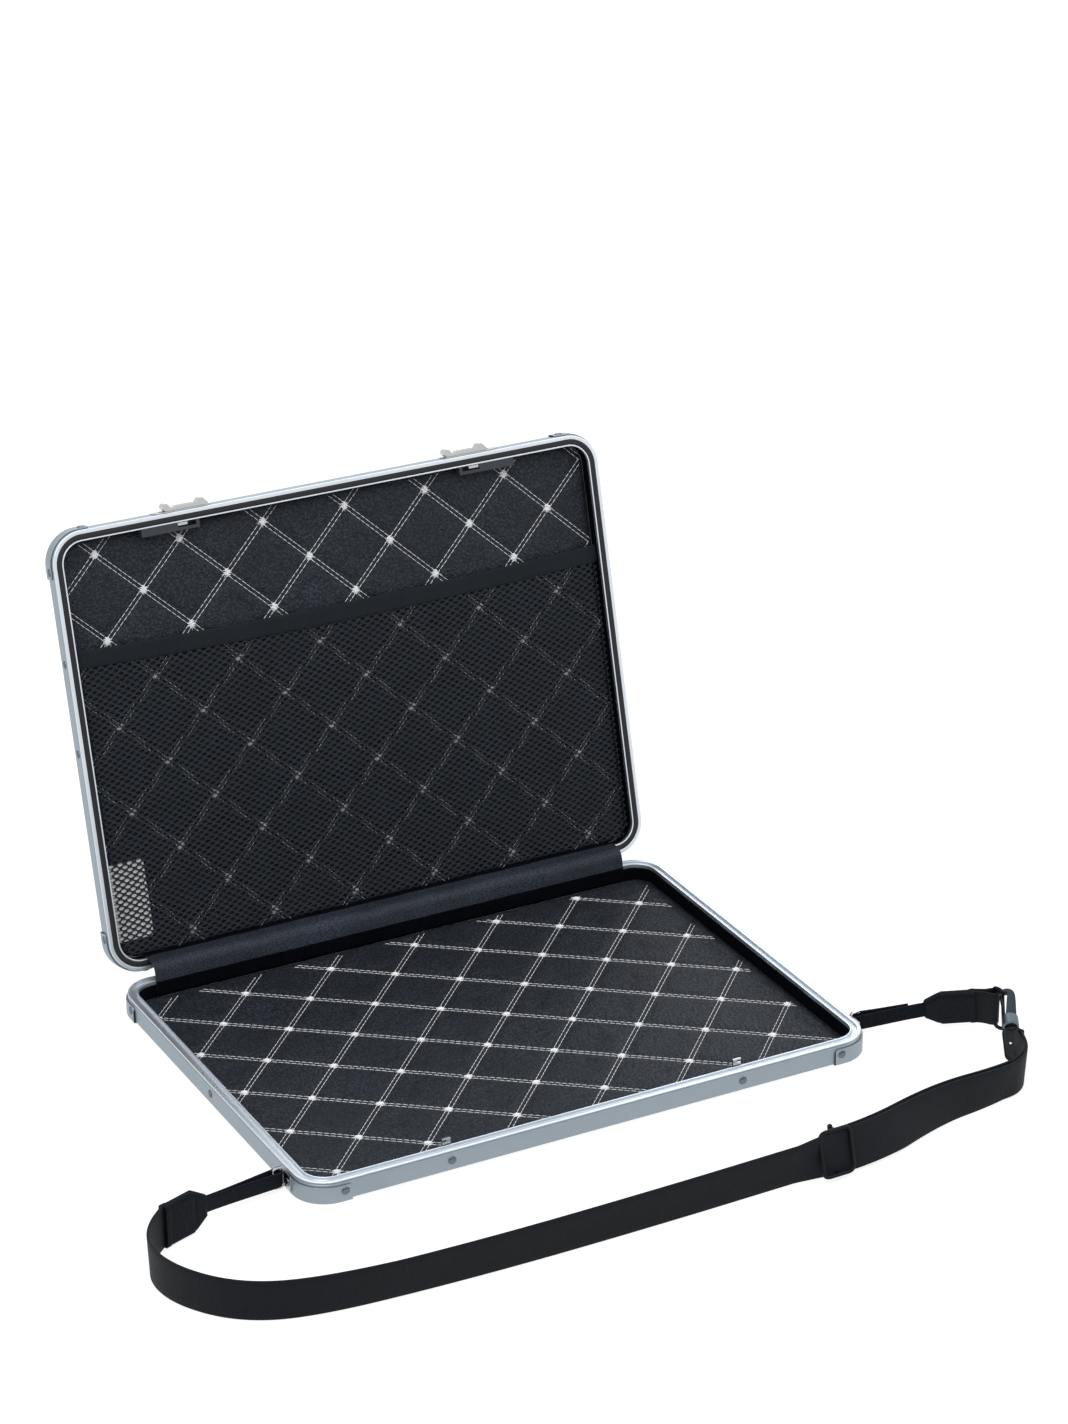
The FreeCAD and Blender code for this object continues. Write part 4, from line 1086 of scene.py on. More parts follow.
# Quilted liners
class Quilt:
    """The lattice of sewn lines on a liner, in the plane of the closed case."""

    def __init__(self, node, pitches, angles):
        self.node = Vector(node)
        self.steps = []
        for pitch, angle in zip(pitches, map(math.radians, angles)):
            self.steps.append(Vector((pitch * math.cos(angle), pitch * math.sin(angle))))
        self.ways = [step.normalized() for step in self.steps]
        self.spacings = [abs(self.steps[1 - i].cross(self.ways[i])) for i in (0, 1)]

    def distances(self, x, y):
        """How far a point is from the nearest sewn line of each direction."""
        found = []
        for way, spacing in zip(self.ways, self.spacings):
            away = way.cross(Vector((x, y)) - self.node) / spacing
            found.append(abs(away - round(away)) * spacing)
        return found

    def crossings(self):
        reach = range(-crossing_reach, crossing_reach + 1)
        for i, j in itertools.product(reach, reach):
            yield self.node + self.steps[0] * i + self.steps[1] * j

    def lines(self, longest):
        """A point and the direction of each sewn line."""
        for i in (0, 1):
            count = int(longest / self.spacings[i])
            for k in range(-count, count + 1):
                yield self.node + self.steps[1 - i] * k, self.ways[i]


quilts = {
    "base": Quilt(base_quilt_node, base_quilt_pitches, base_quilt_angles),
    "lid": Quilt(lid_quilt_node, lid_quilt_pitches, lid_quilt_angles),
}


def liner_reach(y):
    """Half the liner's width at a distance from its middle."""
    past = abs(y) - (liner_half_depth - liner_corner)
    if past <= 0:
        return liner_half_width
    return liner_half_width - liner_corner + math.sqrt(max(0.0, liner_corner ** 2 - past ** 2))


def edge_distance(x, y):
    """How far a point inside the liner's outline is from its edge."""
    past_x = abs(x) - (liner_half_width - liner_corner)
    past_y = abs(y) - (liner_half_depth - liner_corner)
    if past_x > 0 and past_y > 0:
        return liner_corner - math.hypot(past_x, past_y)
    return min(liner_half_width - abs(x), liner_half_depth - abs(y))


def on_liner(spot, margin):
    """Whether a place is on the liner and not nearer its edge than a margin."""
    in_box = abs(spot.x) <= liner_half_width and abs(spot.y) <= liner_half_depth
    return in_box and edge_distance(*spot) >= margin


def flat_liner():
    """Rows of points over the liner's outline."""
    columns = int(2 * liner_half_width / liner_grid)
    rows = int(2 * liner_half_depth / liner_grid)
    points = []
    for j in range(rows + 1):
        y = liner_half_depth * (2 * j / rows - 1)
        reach = liner_reach(y)
        points.append([(reach * (2 * i / columns - 1), y) for i in range(columns + 1)])
    return points


def swollen(grid, quilt):
    """Heights of the padding over its sewn lines, from cloth that is blown up between them."""
    columns = len(grid[0])
    flat = [point for row in grid for point in row]
    nearest = [min(quilt.distances(x, y) + [edge_distance(x, y)]) for x, y in flat]
    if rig.quick():
        return [pad_limit * (1 - math.exp(-near / quick_swell)) for near in nearest]
    sheet = Shape()
    sheet.grid([range(start, start + columns) for start in range(0, len(flat), columns)])
    mesh = bpy.data.meshes.new("padding")
    mesh.from_pydata([(x * mm, y * mm, 0) for x, y in flat], [], sheet.faces)
    cloth = placed("padding", mesh)
    held = cloth.vertex_groups.new(name="sewn")
    held.add([i for i, near in enumerate(nearest) if near < pin_reach / 2], 1.0, "REPLACE")
    blown = cloth.modifiers.new("cloth", "CLOTH")
    blown.settings.vertex_group_mass = "sewn"
    blown.settings.mass = cloth_mass
    blown.settings.use_pressure = True
    blown.settings.uniform_pressure_force = cloth_pressure
    blown.settings.shrink_min = cloth_slack
    blown.settings.effector_weights.gravity = 0
    blown.point_cache.frame_end = cloth_frames
    for step in range(1, cloth_frames + 1):
        bpy.context.scene.frame_set(step)
    seen = cloth.evaluated_get(bpy.context.evaluated_depsgraph_get())
    heights = [min(pad_limit, max(0.0, abs(vertex.co.z) / mm)) for vertex in seen.data.vertices]
    bpy.data.objects.remove(cloth)
    bpy.data.meshes.remove(mesh)
    bpy.context.scene.frame_set(1)
    return heights


def edge_of(rows):
    """The points round a grid."""
    right = [row[-1] for row in rows[1:-1]]
    left = [row[0] for row in rows[-2:0:-1]]
    return rows[0] + right + rows[-1][::-1] + left


def padded_liner(half):
    """The quilted pad: sewn lines low, fields swollen, edges rolled down to the panel."""
    rim_z, into, depth = halves[half]
    quilt = quilts[half]
    grid = flat_liner()
    heights = iter(swollen(grid, quilt))
    shape = Shape()
    rows = []
    feet = []
    for row in grid:
        ids = []
        for x, y in row:
            sewn_share = min(1.0, max(0.0, min(quilt.distances(x, y)) - stitch_gap) / channel_width)
            roll = max(0.0, 1 - edge_distance(x, y) / (2 * liner_roll))
            height = liner_thickness - sewn_depth + next(heights) * sewn_share - liner_roll_depth * roll ** 2
            ids.append(shape.add((x, y, rim_z + into * (depth - height)), (x, y)))
        rows.append(ids)
        feet.append([shape.add((x, y, rim_z + into * depth), (x, y)) for x, y in row])
    shape.grid(rows)
    shape.grid([row[::-1] for row in feet])
    shape.strip(edge_of(feet), edge_of(rows))
    node = half + "_liner"
    pad = made(node + "_quilted", shape, "liner_leather", half, node, soft_angle)
    finer = pad.modifiers.new("finer", "SUBSURF")
    finer.levels = 1
    finer.render_levels = 1
    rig.padded(pad, fill=0.4)
    return pad


def sewn_over(half, pad):
    """Gives the height of a liner's face at a place, in the closed case."""
    turn = lid_turn.inverted() if half == "lid" else Matrix.Identity(4)
    bpy.context.view_layer.update()
    seen = pad.evaluated_get(bpy.context.evaluated_depsgraph_get()).data
    points = [turn @ (vertex.co / mm) for vertex in seen.vertices]
    tree = BVHTree.FromPolygons(points, [tuple(face.vertices) for face in seen.polygons])
    rim_z, into, _ = halves[half]

    def face_z(x, y):
        hit = tree.ray_cast(Vector((x, y, rim_z)), z_axis * into)[0]
        return hit.z if hit else None

    return face_z


def strand(shape, start, end, radius, lift, up):
    """One thread between two points, thin at its ends and raised in the middle."""
    across = (end - start).normalized().cross(up).normalized()
    rings = []
    for length_share, thick_share, rise_share in strand_shares:
        middle = start.lerp(end, length_share) + up * (lift * rise_share)
        rings.append(shape.circle(middle, across, up, radius * thick_share, thread_sides))
    shape.tube(rings)


def stitched(half, face_z, up):
    """Twin rows of stitches along each sewn line."""
    shape = Shape()
    longest = 2 * math.hypot(half_width, half_depth)
    count = int(longest / stitch_pitch)
    for origin, way in quilts[half].lines(longest):
        side = Vector((-way.y, way.x))
        for offset in (-stitch_gap, stitch_gap):
            first = draw.random()
            for k in range(-count, count):
                middle = origin + way * ((k + first) * stitch_pitch) + side * offset
                if not on_liner(middle, stitch_margins[half]):
                    continue
                spots = [middle + way * (sign * stitch_length / 2) for sign in (-1, 1)]
                heights = [face_z(*spot) for spot in spots]
                if None not in heights:
                    start, end = [Vector((*spot, z)) for spot, z in zip(spots, heights)]
                    strand(shape, start, end, stitch_radius, stitch_radius, up)
    return shape


def tufted(half, face_z, up):
    """A tuft of thread on each crossing of the sewn lines, with some loose tails."""
    shape = Shape()
    for crossing in quilts[half].crossings():
        if not on_liner(crossing, tuft_margin):
            continue
        middle = Vector((*crossing, face_z(*crossing)))
        for k in range(tuft_strands):
            share = 2 * k / (tuft_strands - 1) - 1
            reach = tuft_half_length * math.sqrt(1 - tuft_round_share * share ** 2)
            reach = x_axis * (reach * draw.uniform(*tuft_length_shares))
            row = middle + y_axis * (share * tuft_half_height)
            tilt = y_axis * draw.uniform(-tuft_tilt, tuft_tilt)
            rise = tuft_rise * (tuft_crown_share - share ** 2)
            strand(shape, row - reach - tilt, row + reach + tilt, tuft_radius, rise, up)
        for k in range(tuft_tails[half]):
            turn = math.pi * (k + draw.uniform(*tail_turn_shares)) / tuft_tails[half]
            reach = tail_length * draw.uniform(*tail_length_shares)
            end = middle + Vector((math.cos(turn), math.sin(turn), 0)) * reach
            z = face_z(end.x, end.y)
            if z is not None:
                end.z = z
                strand(shape, middle, end, stitch_radius * tail_radius_share, stitch_radius, up)
    return shape


for half, (_, into, _) in halves.items():
    face_z = sewn_over(half, padded_liner(half))
    for name, sewn in (("_liner_stitches", stitched), ("_liner_tufts", tufted)):
        shape = sewn(half, face_z, z_axis * -into)
        made(half + name, shape, "liner_leather", half, sharp=thread_angle, surface="white_thread")


# Lid pocket
def sag_at(x):
    """How far the binding hangs below its ends."""
    return binding_sag * (1 - (x / pocket_half_width) ** 2)


def pocket_binding():
    shape = Shape()
    section = strip_section(binding_width, binding_sheet)
    rings = []
    for i in range(binding_steps + 1):
        x = pocket_half_width * (2 * i / binding_steps - 1)
        y = binding_end_y + sag_at(x)
        z = lid_rim_z + binding_drop + binding_sheet / 2
        rings.append([shape.add((x, y + b, z + a), (x, b)) for a, b in section])
    made("pocket_binding_elastic", shape.tube(rings), "binding_fabric", "lid", "pocket_binding")


def netted():
    """The knitted net: a six-sided mesh round each staggered hole."""
    shape = Shape()
    seen = {}

    def at(x, y):
        reach = liner_reach(y)
        x = max(-reach, min(reach, x))
        key = (round(x, 3), round(y, 3))
        if key not in seen:
            wave = noise.noise(Vector((x, y, 0)) / net_wave_length) * net_wave
            seen[key] = shape.add((x, y, lid_rim_z + net_drop + wave), (x, y))
        return seen[key]

    hole_x, hole_y = (pitch * share for pitch, share in zip((net_pitch_x, net_pitch_y), net_hole_shares))
    cell_shares = [(0.0, -2 / 3), (0.5, -1 / 3), (0.5, 1 / 3), (0.0, 2 / 3), (-0.5, 1 / 3), (-0.5, -1 / 3)]
    rows = int((net_bottom_y - binding_end_y) / net_pitch_y)
    columns = int(2 * pocket_half_width / net_pitch_x)
    for j, i in itertools.product(range(rows), range(columns + 1)):
        x = -pocket_half_width + (i + (j % 2) / 2) * net_pitch_x
        y = net_bottom_y - (j + 0.5) * net_pitch_y
        behind = y < binding_end_y + sag_at(x) + binding_width / 4
        if behind or abs(x) > liner_reach(y) - net_pitch_x / 4:
            continue
        outer = [at(x + u * net_pitch_x, y + v * net_pitch_y) for u, v in cell_shares]
        inner = [at(x + u * hole_x, y + v * hole_y) for u, v in cell_shares]
        if len(set(outer)) == len(cell_shares):
            shape.strip(outer, inner)
    return shape


def pocket_net():
    net = made("pocket_net_knitted", netted(), "net_fabric", "lid", "pocket_net", thread_angle)
    thick = net.modifiers.new("thread", "SOLIDIFY")
    thick.thickness = net_sheet * mm
    thick.offset = 0
    width = 2 * pocket_half_width * mm
    length = (net_bottom_y - binding_end_y - binding_sag) * mm
    area = sum(face.area for face in net.data.polygons)
    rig.sheet(net, flat=(width, length), held="stretched", rests_on=["pocket_binding", "lid_liner"], area=area)


def pocket_label():
    x = -pocket_half_width + clear_gap
    outline = rounded(banded(x, x + label_width, label_bottom_y - label_height, label_bottom_y), label_round)
    drops = (label_drop, label_drop + label_sheet)
    rings = [[(*spot, lid_rim_z + drop) for spot in outline] for drop in drops]
    made("pocket_label_card", tube_of(rings), "label_card", "lid", "pocket_label")


pocket_binding()
pocket_net()
pocket_label()


# Hinge cover
def cover_profile():
    """The cover's middle line across the hinge: up the base lining, over both rims, along the lid lining."""
    y = half_depth - rim_width - clear_gap - cover_sheet / 2
    foot = Vector((0, y, base_rim_z - (base_wall_height - liner_thickness) + clear_gap))
    base_top = Vector((0, y, base_rim_z))
    lid_top = lid_turn @ Vector((0, y, lid_rim_z))
    lid_foot = lid_turn @ Vector((0, y, lid_rim_z + lid_wall_height - liner_thickness - clear_gap))
    swell = (lid_top - base_top).cross(x_axis).normalized() * (-2 * cover_bulge)
    middle = (base_top + lid_top) / 2 + swell
    base_bend = base_top.lerp(foot, cover_bend_share)
    lid_bend = lid_top.lerp(lid_foot, cover_bend_share)
    return smooth_line([foot, base_bend, base_top, middle, lid_top, lid_bend, lid_foot])


def tucked(face):
    """Whether a part of the cover lies inside the base or the lid."""
    spot = face.center / mm
    in_base = spot.z < base_rim_z - cover_tuck and spot.y < hinge_axis.y
    return in_base or (lid_turn.inverted() @ spot).z > lid_rim_z + cover_tuck


def hinge_cover():
    line = cover_profile()
    shape = Shape()
    rings = []
    drift_x, drift_y = cover_fold_drift
    for i in range(cover_columns + 1):
        x = cover_half_length * (2 * i / cover_columns - 1)
        near = []
        far = []
        for k, point in enumerate(line):
            share = k / (len(line) - 1)
            out = along_at(line, k).cross(x_axis).normalized()
            drift = Vector((x + drift_x * share, drift_y * share, 0))
            fold = noise.noise(drift / cover_fold_length) * cover_fold * math.sin(math.pi * share)
            spot = Vector((x, point.y, point.z)) + out * fold
            near.append(shape.add(spot + out * cover_sheet / 2, (x, share)))
            far.append(shape.add(spot - out * cover_sheet / 2, (x, share)))
        rings.append(near + far[::-1])
    cover = meshed("hinge_cover_folded", shape.tube(rings), "cover_leather", soft_angle)
    # The cover's faces below the rims take the darker lining finish.
    second_surface(cover, "lining_leather", [face.index for face in cover.data.polygons if tucked(face)])
    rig.blend(cover, "base", "lid", start=line[0] * mm, end=line[-1] * mm)
    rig.slot(cover, "lining_leather")
    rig.replaces(cover, "hinge_cover")


hinge_cover()


# Corner caps
def cap_path(sx, sy):
    """Points round one corner, with their outward directions and their cuts from the cap's nearer end."""
    cuts = [cap_end_cut * (1 - math.cos(math.pi / 2 * k / cap_steps)) for k in range(cap_steps + 1)]
    path = []
    for cut in cuts:
        path.append((Vector((sx * half_width, sy * (half_depth - cap_reach + cut), 0)), x_axis * sx, cut))
    middle = Vector((sx * (half_width - corner_radius), sy * (half_depth - corner_radius), 0))
    for i in range(corner_steps + 1):
        turn = math.pi / 2 * i / corner_steps
        out = Vector((sx * math.cos(turn), sy * math.sin(turn), 0))
        path.append((middle + out * corner_radius, out, cap_end_cut))
    for cut in reversed(cuts):
        path.append((Vector((sx * (half_width - cap_reach + cut), sy * half_depth, 0)), y_axis * sy, cut))
    return path


def cap_section(depth, cut):
    """The cap's folded sheet as inset and drop. Near its ends the top edge is cut round."""
    short = 1 - cut / cap_end_cut
    top = cap_top_drop + cap_end_cut * (1 - math.sqrt(1 - short ** 2))
    outer = -cap_sheet - bond_gap
    corners = [
        (-bond_gap, top),
        (outer, top),
        (outer, depth + cap_sheet),
        (cap_flange, depth + cap_sheet),
        (cap_flange, depth + bond_gap),
        (-bond_gap, depth + bond_gap),
    ]
    edge = cap_edge_round
    return rounded(corners, [edge, edge, cap_fold, edge, edge, bond_gap])


def corner_cap(half, name, sx, sy):
    _, _, depth = halves[half]
    path = cap_path(sx, sy)
    shape = tube_of([section_at(cap_section(depth, cut), half, point, out) for point, out, cut in path])
    node = half + "_corner_cap_" + name
    piece = made(node + "_pressed", shape, "cap_aluminium", half, node)
    # The cap's two end faces are painted dark as shade at the sheet's cut edge.
    shaded_end_faces = range(len(shape.faces) - 2, len(shape.faces))
    second_surface(piece, "cut_aluminium", shaded_end_faces)


case_corners = [("front_left", -1, -1), ("front_right", 1, -1), ("back_left", -1, 1), ("back_right", 1, 1)]
for half in halves:
    for corner in case_corners:
        corner_cap(half, *corner)


# Latch housings and springs
def blocks(stops, solid):
    """The closed skin of the solid cells in a grid with the given stops along each axis."""
    shape = Shape()
    seen = {}

    def corner(place):
        if place not in seen:
            seen[place] = shape.add([axis[i] for axis, i in zip(stops, place)])
        return seen[place]

    for cell in itertools.product(*[range(len(axis) - 1) for axis in stops]):
        if not solid(cell):
            continue
        for axis, step in itertools.product(range(3), (0, 1)):
            beyond = list(cell)
            beyond[axis] += 2 * step - 1
            if 0 <= beyond[axis] < len(stops[axis]) - 1 and solid(beyond):
                continue
            quad = []
            for u, v in ((0, 0), (1, 0), (1, 1), (0, 1)):
                place = list(cell)
                place[axis] += step
                place[axis - 1] += u
                place[axis - 2] += v
                quad.append(corner(tuple(place)))
            shape.faces.append(tuple(quad))
    return shape


def latch_housing(side, sx):
    """The moulded cover inside the lid: hollow, open at its back, with a window over the hook."""
    start = -housing_inner_end
    end = start + housing_length
    back = rim_width + bond_gap
    inner = back + housing_depth
    far = lid_wall_height - liner_thickness - clear_gap
    alongs = [start, start + housing_wall, *window_span, end - housing_wall, end]
    insets = [back, back + window_width, inner - housing_wall, inner]
    drops = [housing_face_drop, housing_face_drop + housing_wall, far - housing_wall, far]

    def solid(cell):
        along, inset, drop = cell
        window = along == 2 and inset == 0 and drop == 0
        hollow = 1 <= along <= 3 and inset <= 1 and drop == 1
        return not (window or hollow)

    stops = [
        [sx * (latch_x + along) for along in alongs],
        [inset - half_depth for inset in insets],
        [lid_rim_z + drop for drop in drops],
    ]
    node = "latch_housing_" + side
    piece = made(node + "_moulded", blocks(stops, solid), "housing_plastic", "lid", node)
    soft = piece.modifiers.new("edges", "BEVEL")
    soft.width = housing_round * mm
    soft.segments = 2


def latch_spring(side, sx):
    """The flat folded spring between the hook and the housing's end. It shortens as the latch slides."""
    step = (spring_end - spring_start) / spring_folds
    near = []
    for i in range(spring_folds + 1):
        x = sx * (latch_x + spring_start + i * step)
        near.append(Vector((x, spring_inset + (i % 2) * spring_depth - half_depth, lid_rim_z + spring_drop)))
    outline = near + [point + y_axis * spring_sheet for point in reversed(near)]
    rings = [[point + z_axis * rise for point in outline] for rise in (-spring_width / 2, spring_width / 2)]
    node = "latch_spring_" + side
    piece = made(node + "_folded", tube_of(rings), "spring_steel", "lid", node)
    still = Vector((sx * (latch_x + spring_end), 0, 0))
    keep_share = 1 - latch_travel / (spring_end - spring_start)
    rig.squash(piece, "latch_slide_" + side, axis=(1, 0, 0), anchor=still * mm, keep=keep_share)


for side, sx in (("left", -1), ("right", 1)):
    latch_housing(side, sx)
    latch_spring(side, sx)


# Rivets
def turned_rings(shape, place, out, profile):
    """A body turned round an axis, from pairs of radius and height."""
    across = out.orthogonal().normalized()
    up = out.cross(across)
    rings = []
    for radius, height in profile:
        rings.append(shape.circle(place + out * height, across, up, radius, rivet_sides))
    return shape.tube(rings)


def dome(radius, height):
    """Radius and height of a round head with a short upright rim."""
    rim = height * rivet_rim_share
    profile = [(radius, 0.0)]
    for k in range(rivet_dome_steps):
        turn = math.pi / 2 * k / rivet_dome_steps
        profile.append((radius * math.cos(turn), rim + (height - rim) * math.sin(turn)))
    return profile


def rivets(node, half, seats, head_height=rivet_head_height):
    """A group of rivets from their seats, outward directions and grips."""
    shape = Shape()
    for seat, out, grip in seats:
        shank = [(rivet_shank_radius, -grip - rivet_tail), (rivet_shank_radius, 0.0)]
        turned_rings(shape, Vector(seat), Vector(out), shank + dome(rivet_head_radius, head_height))
    made(node + "_domed", shape, "rivet_steel", half, node)


def cap_seats(half, z):
    """Two rivets through each corner cap. At the base's front corners one also holds a strap lug."""
    skin = cap_sheet + bond_gap
    seats = []
    for _, sx, sy in case_corners:
        cover = skin + lug_plate + bond_gap if half == "base" and sy < 0 else skin
        y = sy * (half_depth - cap_reach + cap_rivet_inset)
        seats.append(((sx * (half_width + cover), y, z), (sx, 0, 0), frame_wall + cover))
        x = sx * (half_width - cap_reach + cap_rivet_inset)
        seats.append(((x, sy * (half_depth + skin), z), (0, sy, 0), frame_wall + skin))
    return seats


def wall_seats(half, z):
    """A rivet in the middle of each side wall, and on the lid one at each end of the pocket's binding."""
    places = [mid_rivet_y] if half == "base" else [mid_rivet_y, binding_end_y + pocket_rivet_offset]
    return [((sx * half_width, y, z), (sx, 0, 0), frame_wall) for sx in (-1, 1) for y in places]


def leaf_seats(into):
    """The rivets along one leaf of the hinge."""
    skin = leaf_sheet + bond_gap
    z = hinge_axis.z + into * (hinge_axis.y - half_depth + leaf_height / 2)
    seats = []
    for i in range(hinge_rivet_count):
        x = hinge_half_length * ((2 * i + 1) / hinge_rivet_count - 1)
        seats.append(((x, half_depth + skin, z), (0, 1, 0), frame_wall + skin))
    return seats


for half, (rim_z, into, _) in halves.items():
    z = rim_z + into * rivet_drops[half]
    rivets(half + "_cap_rivets", half, cap_seats(half, z))
    rivets(half + "_wall_rivets", half, wall_seats(half, z))
    rivets("hinge_" + half + "_rivets", half, leaf_seats(into), hinge_rivet_head_height)
z = base_rim_z - rivet_drops["base"]
rivets("keeper_rivets", "base", [((sx * latch_x, -half_depth, z), (0, -1, 0), frame_wall) for sx in (-1, 1)])


# Strap fittings
def leaning(lean):
    """The upward direction of something that leans to the front by an angle."""
    return Vector((0, -math.sin(math.radians(lean)), math.cos(math.radians(lean))))


def axes_at(start, x, y):
    return Matrix.Translation(start) @ Matrix((x, y, x.cross(y))).transposed().to_4x4()


def along_frame(start, end, lean=0.0):
    """A place at start with X towards end and Z up, leaning to the front by an angle."""
    x = (Vector(end) - Vector(start)).normalized()
    return axes_at(start, x, leaning(lean).cross(x).normalized())


def distance(start, end):
    return (Vector(end) - Vector(start)).length


def folded_strip(points, width, sheet, place):
    """A strip on edge along a curve in a place's X and Y."""
    return ribbon(flat_line(points), width, sheet, lowered=False)[0].turned(place)


def strap_tab(side):
    """A leather strip that goes round the lug's bar and back. The right one's back layer ends free."""
    length = distance(lug_bars[side], end_tips[side]) + tab_tuck
    free = length * tab_free_share
    near = [
        (-tab_loop, tab_spread),
        (0, tab_spread),
        (length * tab_bend_share, (tab_spread + tab_touch) / 2),
        (free, tab_touch),
        (length, tab_touch),
    ]
    back = near if side == "left" else near[:3] + [(free, tab_touch + tab_leather / 2)]
    points = [(x, -y) for x, y in reversed(near)] + back
    shape = folded_strip(points, tab_width, tab_leather, along_frame(lug_bars[side], end_tips[side]))
    node = "strap_tab_" + side
    made(node + "_folded", shape, "strap_leather", "base", node)


def end_half_height(x):
    """Half the end piece's height, from its narrow tip to its full width."""
    return end_tip / 2 + (strap_width - end_tip) / 2 * min(1.0, x / end_taper)


def end_half_thickness(x, z, length):
    """Half the end piece's thickness: rolled at its edges, creased near its tip, with a lip at its mouth."""
    roll = 1 - min(1.0, x / end_round, (end_half_height(x) - abs(z)) / end_round)
    full = end_thickness / 2 * (end_edge_share + (1 - end_edge_share) * math.sqrt(1 - roll ** 2))
    crease = end_crease_depth * math.exp(-(((x - end_crease) / end_crease_half) ** 2))
    lip = end_lip_rise if x > length - end_lip else 0
    return full - crease + lip


def strap_end(side):
    """The sewn leather sleeve between the tab and the webbing."""
    length = distance(end_tips[side], end_mouths[side]) - clear_gap
    shape = Shape()
    edges = []
    for sign in (1, -1):
        rows = []
        for i in range(end_rows + 1):
            x = length * i / end_rows
            row = []
            for j in range(end_columns + 1):
                z = end_half_height(x) * math.sin(math.pi / 2 * (2 * j / end_columns - 1))
                row.append(shape.add((x, sign * end_half_thickness(x, z, length), z), (x, z)))
            rows.append(row)
        shape.grid(rows)
        edges.append(edge_of(rows))
    shape.strip(*edges)
    place = along_frame(end_tips[side], end_mouths[side], end_leans[side])
    node = "strap_end_" + side
    made(node + "_sewn", shape.turned(place), "strap_leather", "base", node, soft_angle)


def strap_short():
    """The short webbing from the right end piece round the ring's bar and back."""
    reach = distance(end_mouths["right"], ring_near)
    near = [
        (-tab_tuck, tab_touch),
        (reach / 2, tab_touch),
        (reach - loop_spread, loop_spread),
        (reach + loop_spread, loop_spread),
    ]
    points = [(x, -y) for x, y in near] + near[::-1]
    place = along_frame(end_mouths["right"], ring_near, ring_lean)
    shape = folded_strip(points, strap_width, webbing_sheet, place)
    made("strap_short_sewn", shape, "webbing_fabric", "base", "strap_short")


def wire(shape, line, radius, across, closed=False):
    """A round wire along points in the plane across a direction, with round ends if it has any."""
    count = len(line)
    stops = []
    for i, point in enumerate(line):
        before = line[i - 1] if i or closed else point
        after = line[(i + 1) % count] if i + 1 < count or closed else point
        stops.append((point, (after - before).normalized(), 1.0))
    if not closed:
        for end, sign in ((0, -1), (-1, 1)):
            point, along, _ = stops[end]
            caps = []
            for angle in map(math.radians, wire_end_angles):
                caps.append((point + along * (sign * radius * math.sin(angle)), along, math.cos(angle)))
            stops = stops + caps if sign > 0 else caps[::-1] + stops
    rings = []
    for point, along, share in stops:
        rings.append(shape.circle(point, along.cross(across), across, radius * share, wire_sides))
    shape.tube(rings, closed=closed)


def wire_frame(shape, middle, half_length, half_height, bend):
    """A closed upright wire rectangle with round corners, in X and Z."""
    outline = rounded(oblong(half_length, half_height), bend, 2 * round_steps)
    line = [Vector((x, 0, z)) + Vector(middle) for x, z in outline]
    wire(shape, line, ring_wire_radius, y_axis, closed=True)


def strap_ring():
    shape = Shape()
    half_length = distance(ring_near, ring_far) / 2
    wire_frame(shape, (half_length, 0, 0), half_length, ring_half_height, ring_bend)
    shape.turned(along_frame(ring_near, ring_far, ring_lean))
    made("strap_ring_bent", shape, "strap_metal", "base", "strap_ring")


def strap_slider():
    """The wire frame before the webbing and the bar behind it, with a nub at each end."""
    shape = Shape()
    wire_frame(shape, (0, -slider_offset, 0), slider_half_length, slider_half_height, slider_bend)
    reach = slider_half_height + slider_nub
    wire(shape, [Vector((0, slider_offset, sign * reach)) for sign in (-1, 1)], slider_bar_radius, y_axis)
    for sign in (-1, 1):
        link = [Vector((0, side * slider_offset, sign * slider_half_height)) for side in (-1, 1)]
        wire(shape, link, ring_wire_radius, x_axis)
    shape.turned(along_frame(slider_middle, slider_end, slider_lean))
    return made("strap_slider_bent", shape, "strap_metal", "base", "strap_slider")


def clip_axes():
    """The snap hook's own axes: X towards the ring, Y to the right and Z away from the front."""
    end = Vector(ring_far) + leaning(ring_lean) * clip_rise
    x = (end - Vector(clip_start)).normalized()
    return axes_at(clip_start, x, x.cross(Vector(camera_place) / mm - end).normalized())


clip_place = clip_axes()


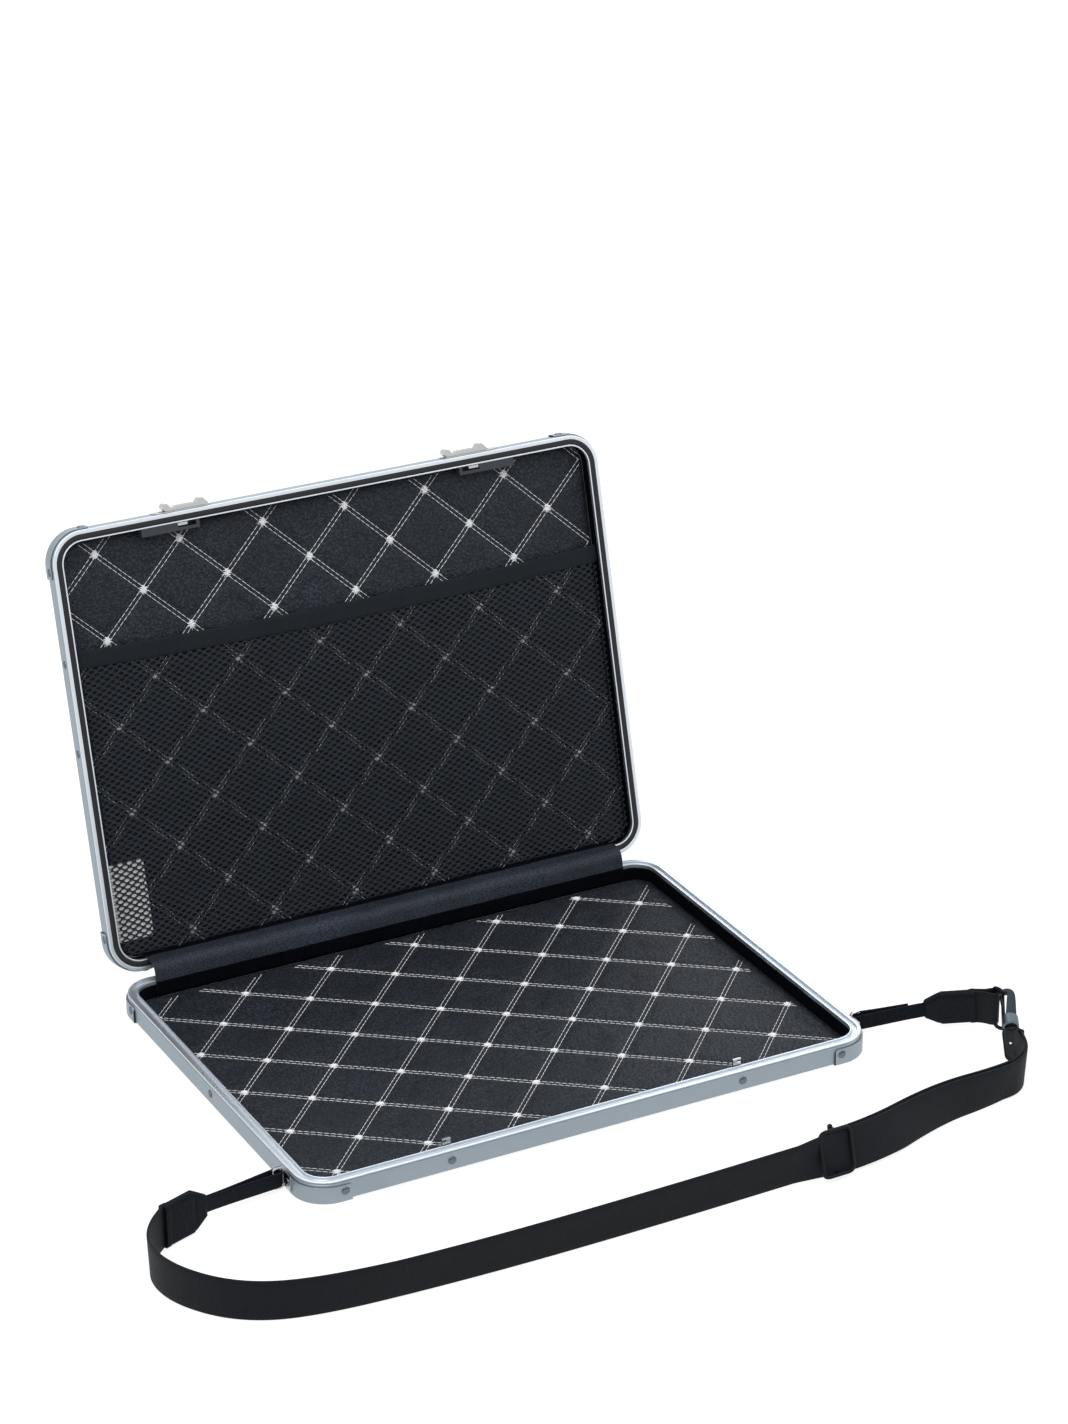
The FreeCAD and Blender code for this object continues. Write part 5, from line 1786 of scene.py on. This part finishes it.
def strap_clip():
    """The eye with its small rivet, and the barrel that the hook turns in."""
    middle = eye_length / 2
    corners = [(middle + x, y) for x, y in oblong(middle, eye_half_width)]
    outline = rounded(corners, eye_half_width, 2 * round_steps)
    eye = Shape()
    wire(eye, [Vector((*spot, 0)) for spot in outline], eye_wire_radius, z_axis, closed=True)
    eye.tube([[eye.add((*spot, side * eye_plate / 2)) for spot in outline] for side in (-1, 1)])
    seat = Vector((*eye_rivet_place, -eye_plate / 2))
    dot = turned_rings(Shape(), seat, -z_axis, dome(eye_rivet_radius, eye_rivet_height))
    profile = [
        (barrel_radius - barrel_round, 0.0),
        (barrel_radius, barrel_round),
        (barrel_radius, barrel_length - barrel_round),
        (barrel_radius - barrel_round, barrel_length),
    ]
    barrel = turned_rings(Shape(), x_axis * (eye_length + eye_wire_radius / 2), x_axis, profile)
    made("strap_clip_rivet", dot.turned(clip_place), "strap_metal", "base", surface="chrome")
    barrel.turned(clip_place)
    turning = made("strap_clip_barrel", barrel, "strap_metal", "base", surface="barrel_metal")
    body = made("strap_clip_eye", eye.turned(clip_place), "strap_metal", "base", "strap_clip")
    return [body, turning]


def tapered_plate(points, widths, thickness, edge):
    """A plate along a curve in X and Y, as wide as its stops say."""
    shape = Shape()
    line = flat_line(points)
    rings = []
    for i, point in enumerate(line):
        left = z_axis.cross(along_at(line, i))
        half = between_stops(widths, i / (len(line) - 1)) / 2
        outline = rounded(oblong(half, thickness / 2), edge)
        rings.append([shape.add(point + left * a + z_axis * b) for a, b in outline])
    return shape.tube(rings)


def strap_hook():
    """The flat hook over the ring and the thin gate that closes its mouth."""
    shape = tapered_plate(hook_route, hook_widths, hook_plate, hook_round).turned(clip_place)
    hook = made("strap_hook_flat", shape, "strap_metal", "base", "strap_hook", surface="hook_metal")
    shape = Shape()
    wire(shape, flat_line(gate_route), gate_radius, z_axis)
    gate = made("hook_gate_sprung", shape.turned(clip_place), "strap_metal", "base", "hook_gate")
    return [hook, gate]


for side in ("left", "right"):
    strap_tab(side)
    strap_end(side)
strap_short()
strap_ring()
fittings = [strap_slider()] + strap_clip() + strap_hook()

# Cords
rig.cord(
    webbing,
    exit=webbing_path[0],
    length=webbing_length,
    diameter=strap_width * mm,
    far_end="connector",
    stiffness="limp",
    lay="loose",
    path=webbing_path,
    with_pieces=fittings,
)
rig.cord(
    doubled,
    exit=doubled_path[0],
    length=return_length,
    diameter=strap_width * mm,
    far_end="object",
    stiffness="limp",
    lay="loose",
    path=doubled_path,
)

model_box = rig.bounds()
with open("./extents.json", "w") as out:
    json.dump({"cad": [list(corner) for corner in cad_box], "visual": [list(corner) for corner in model_box]}, out)
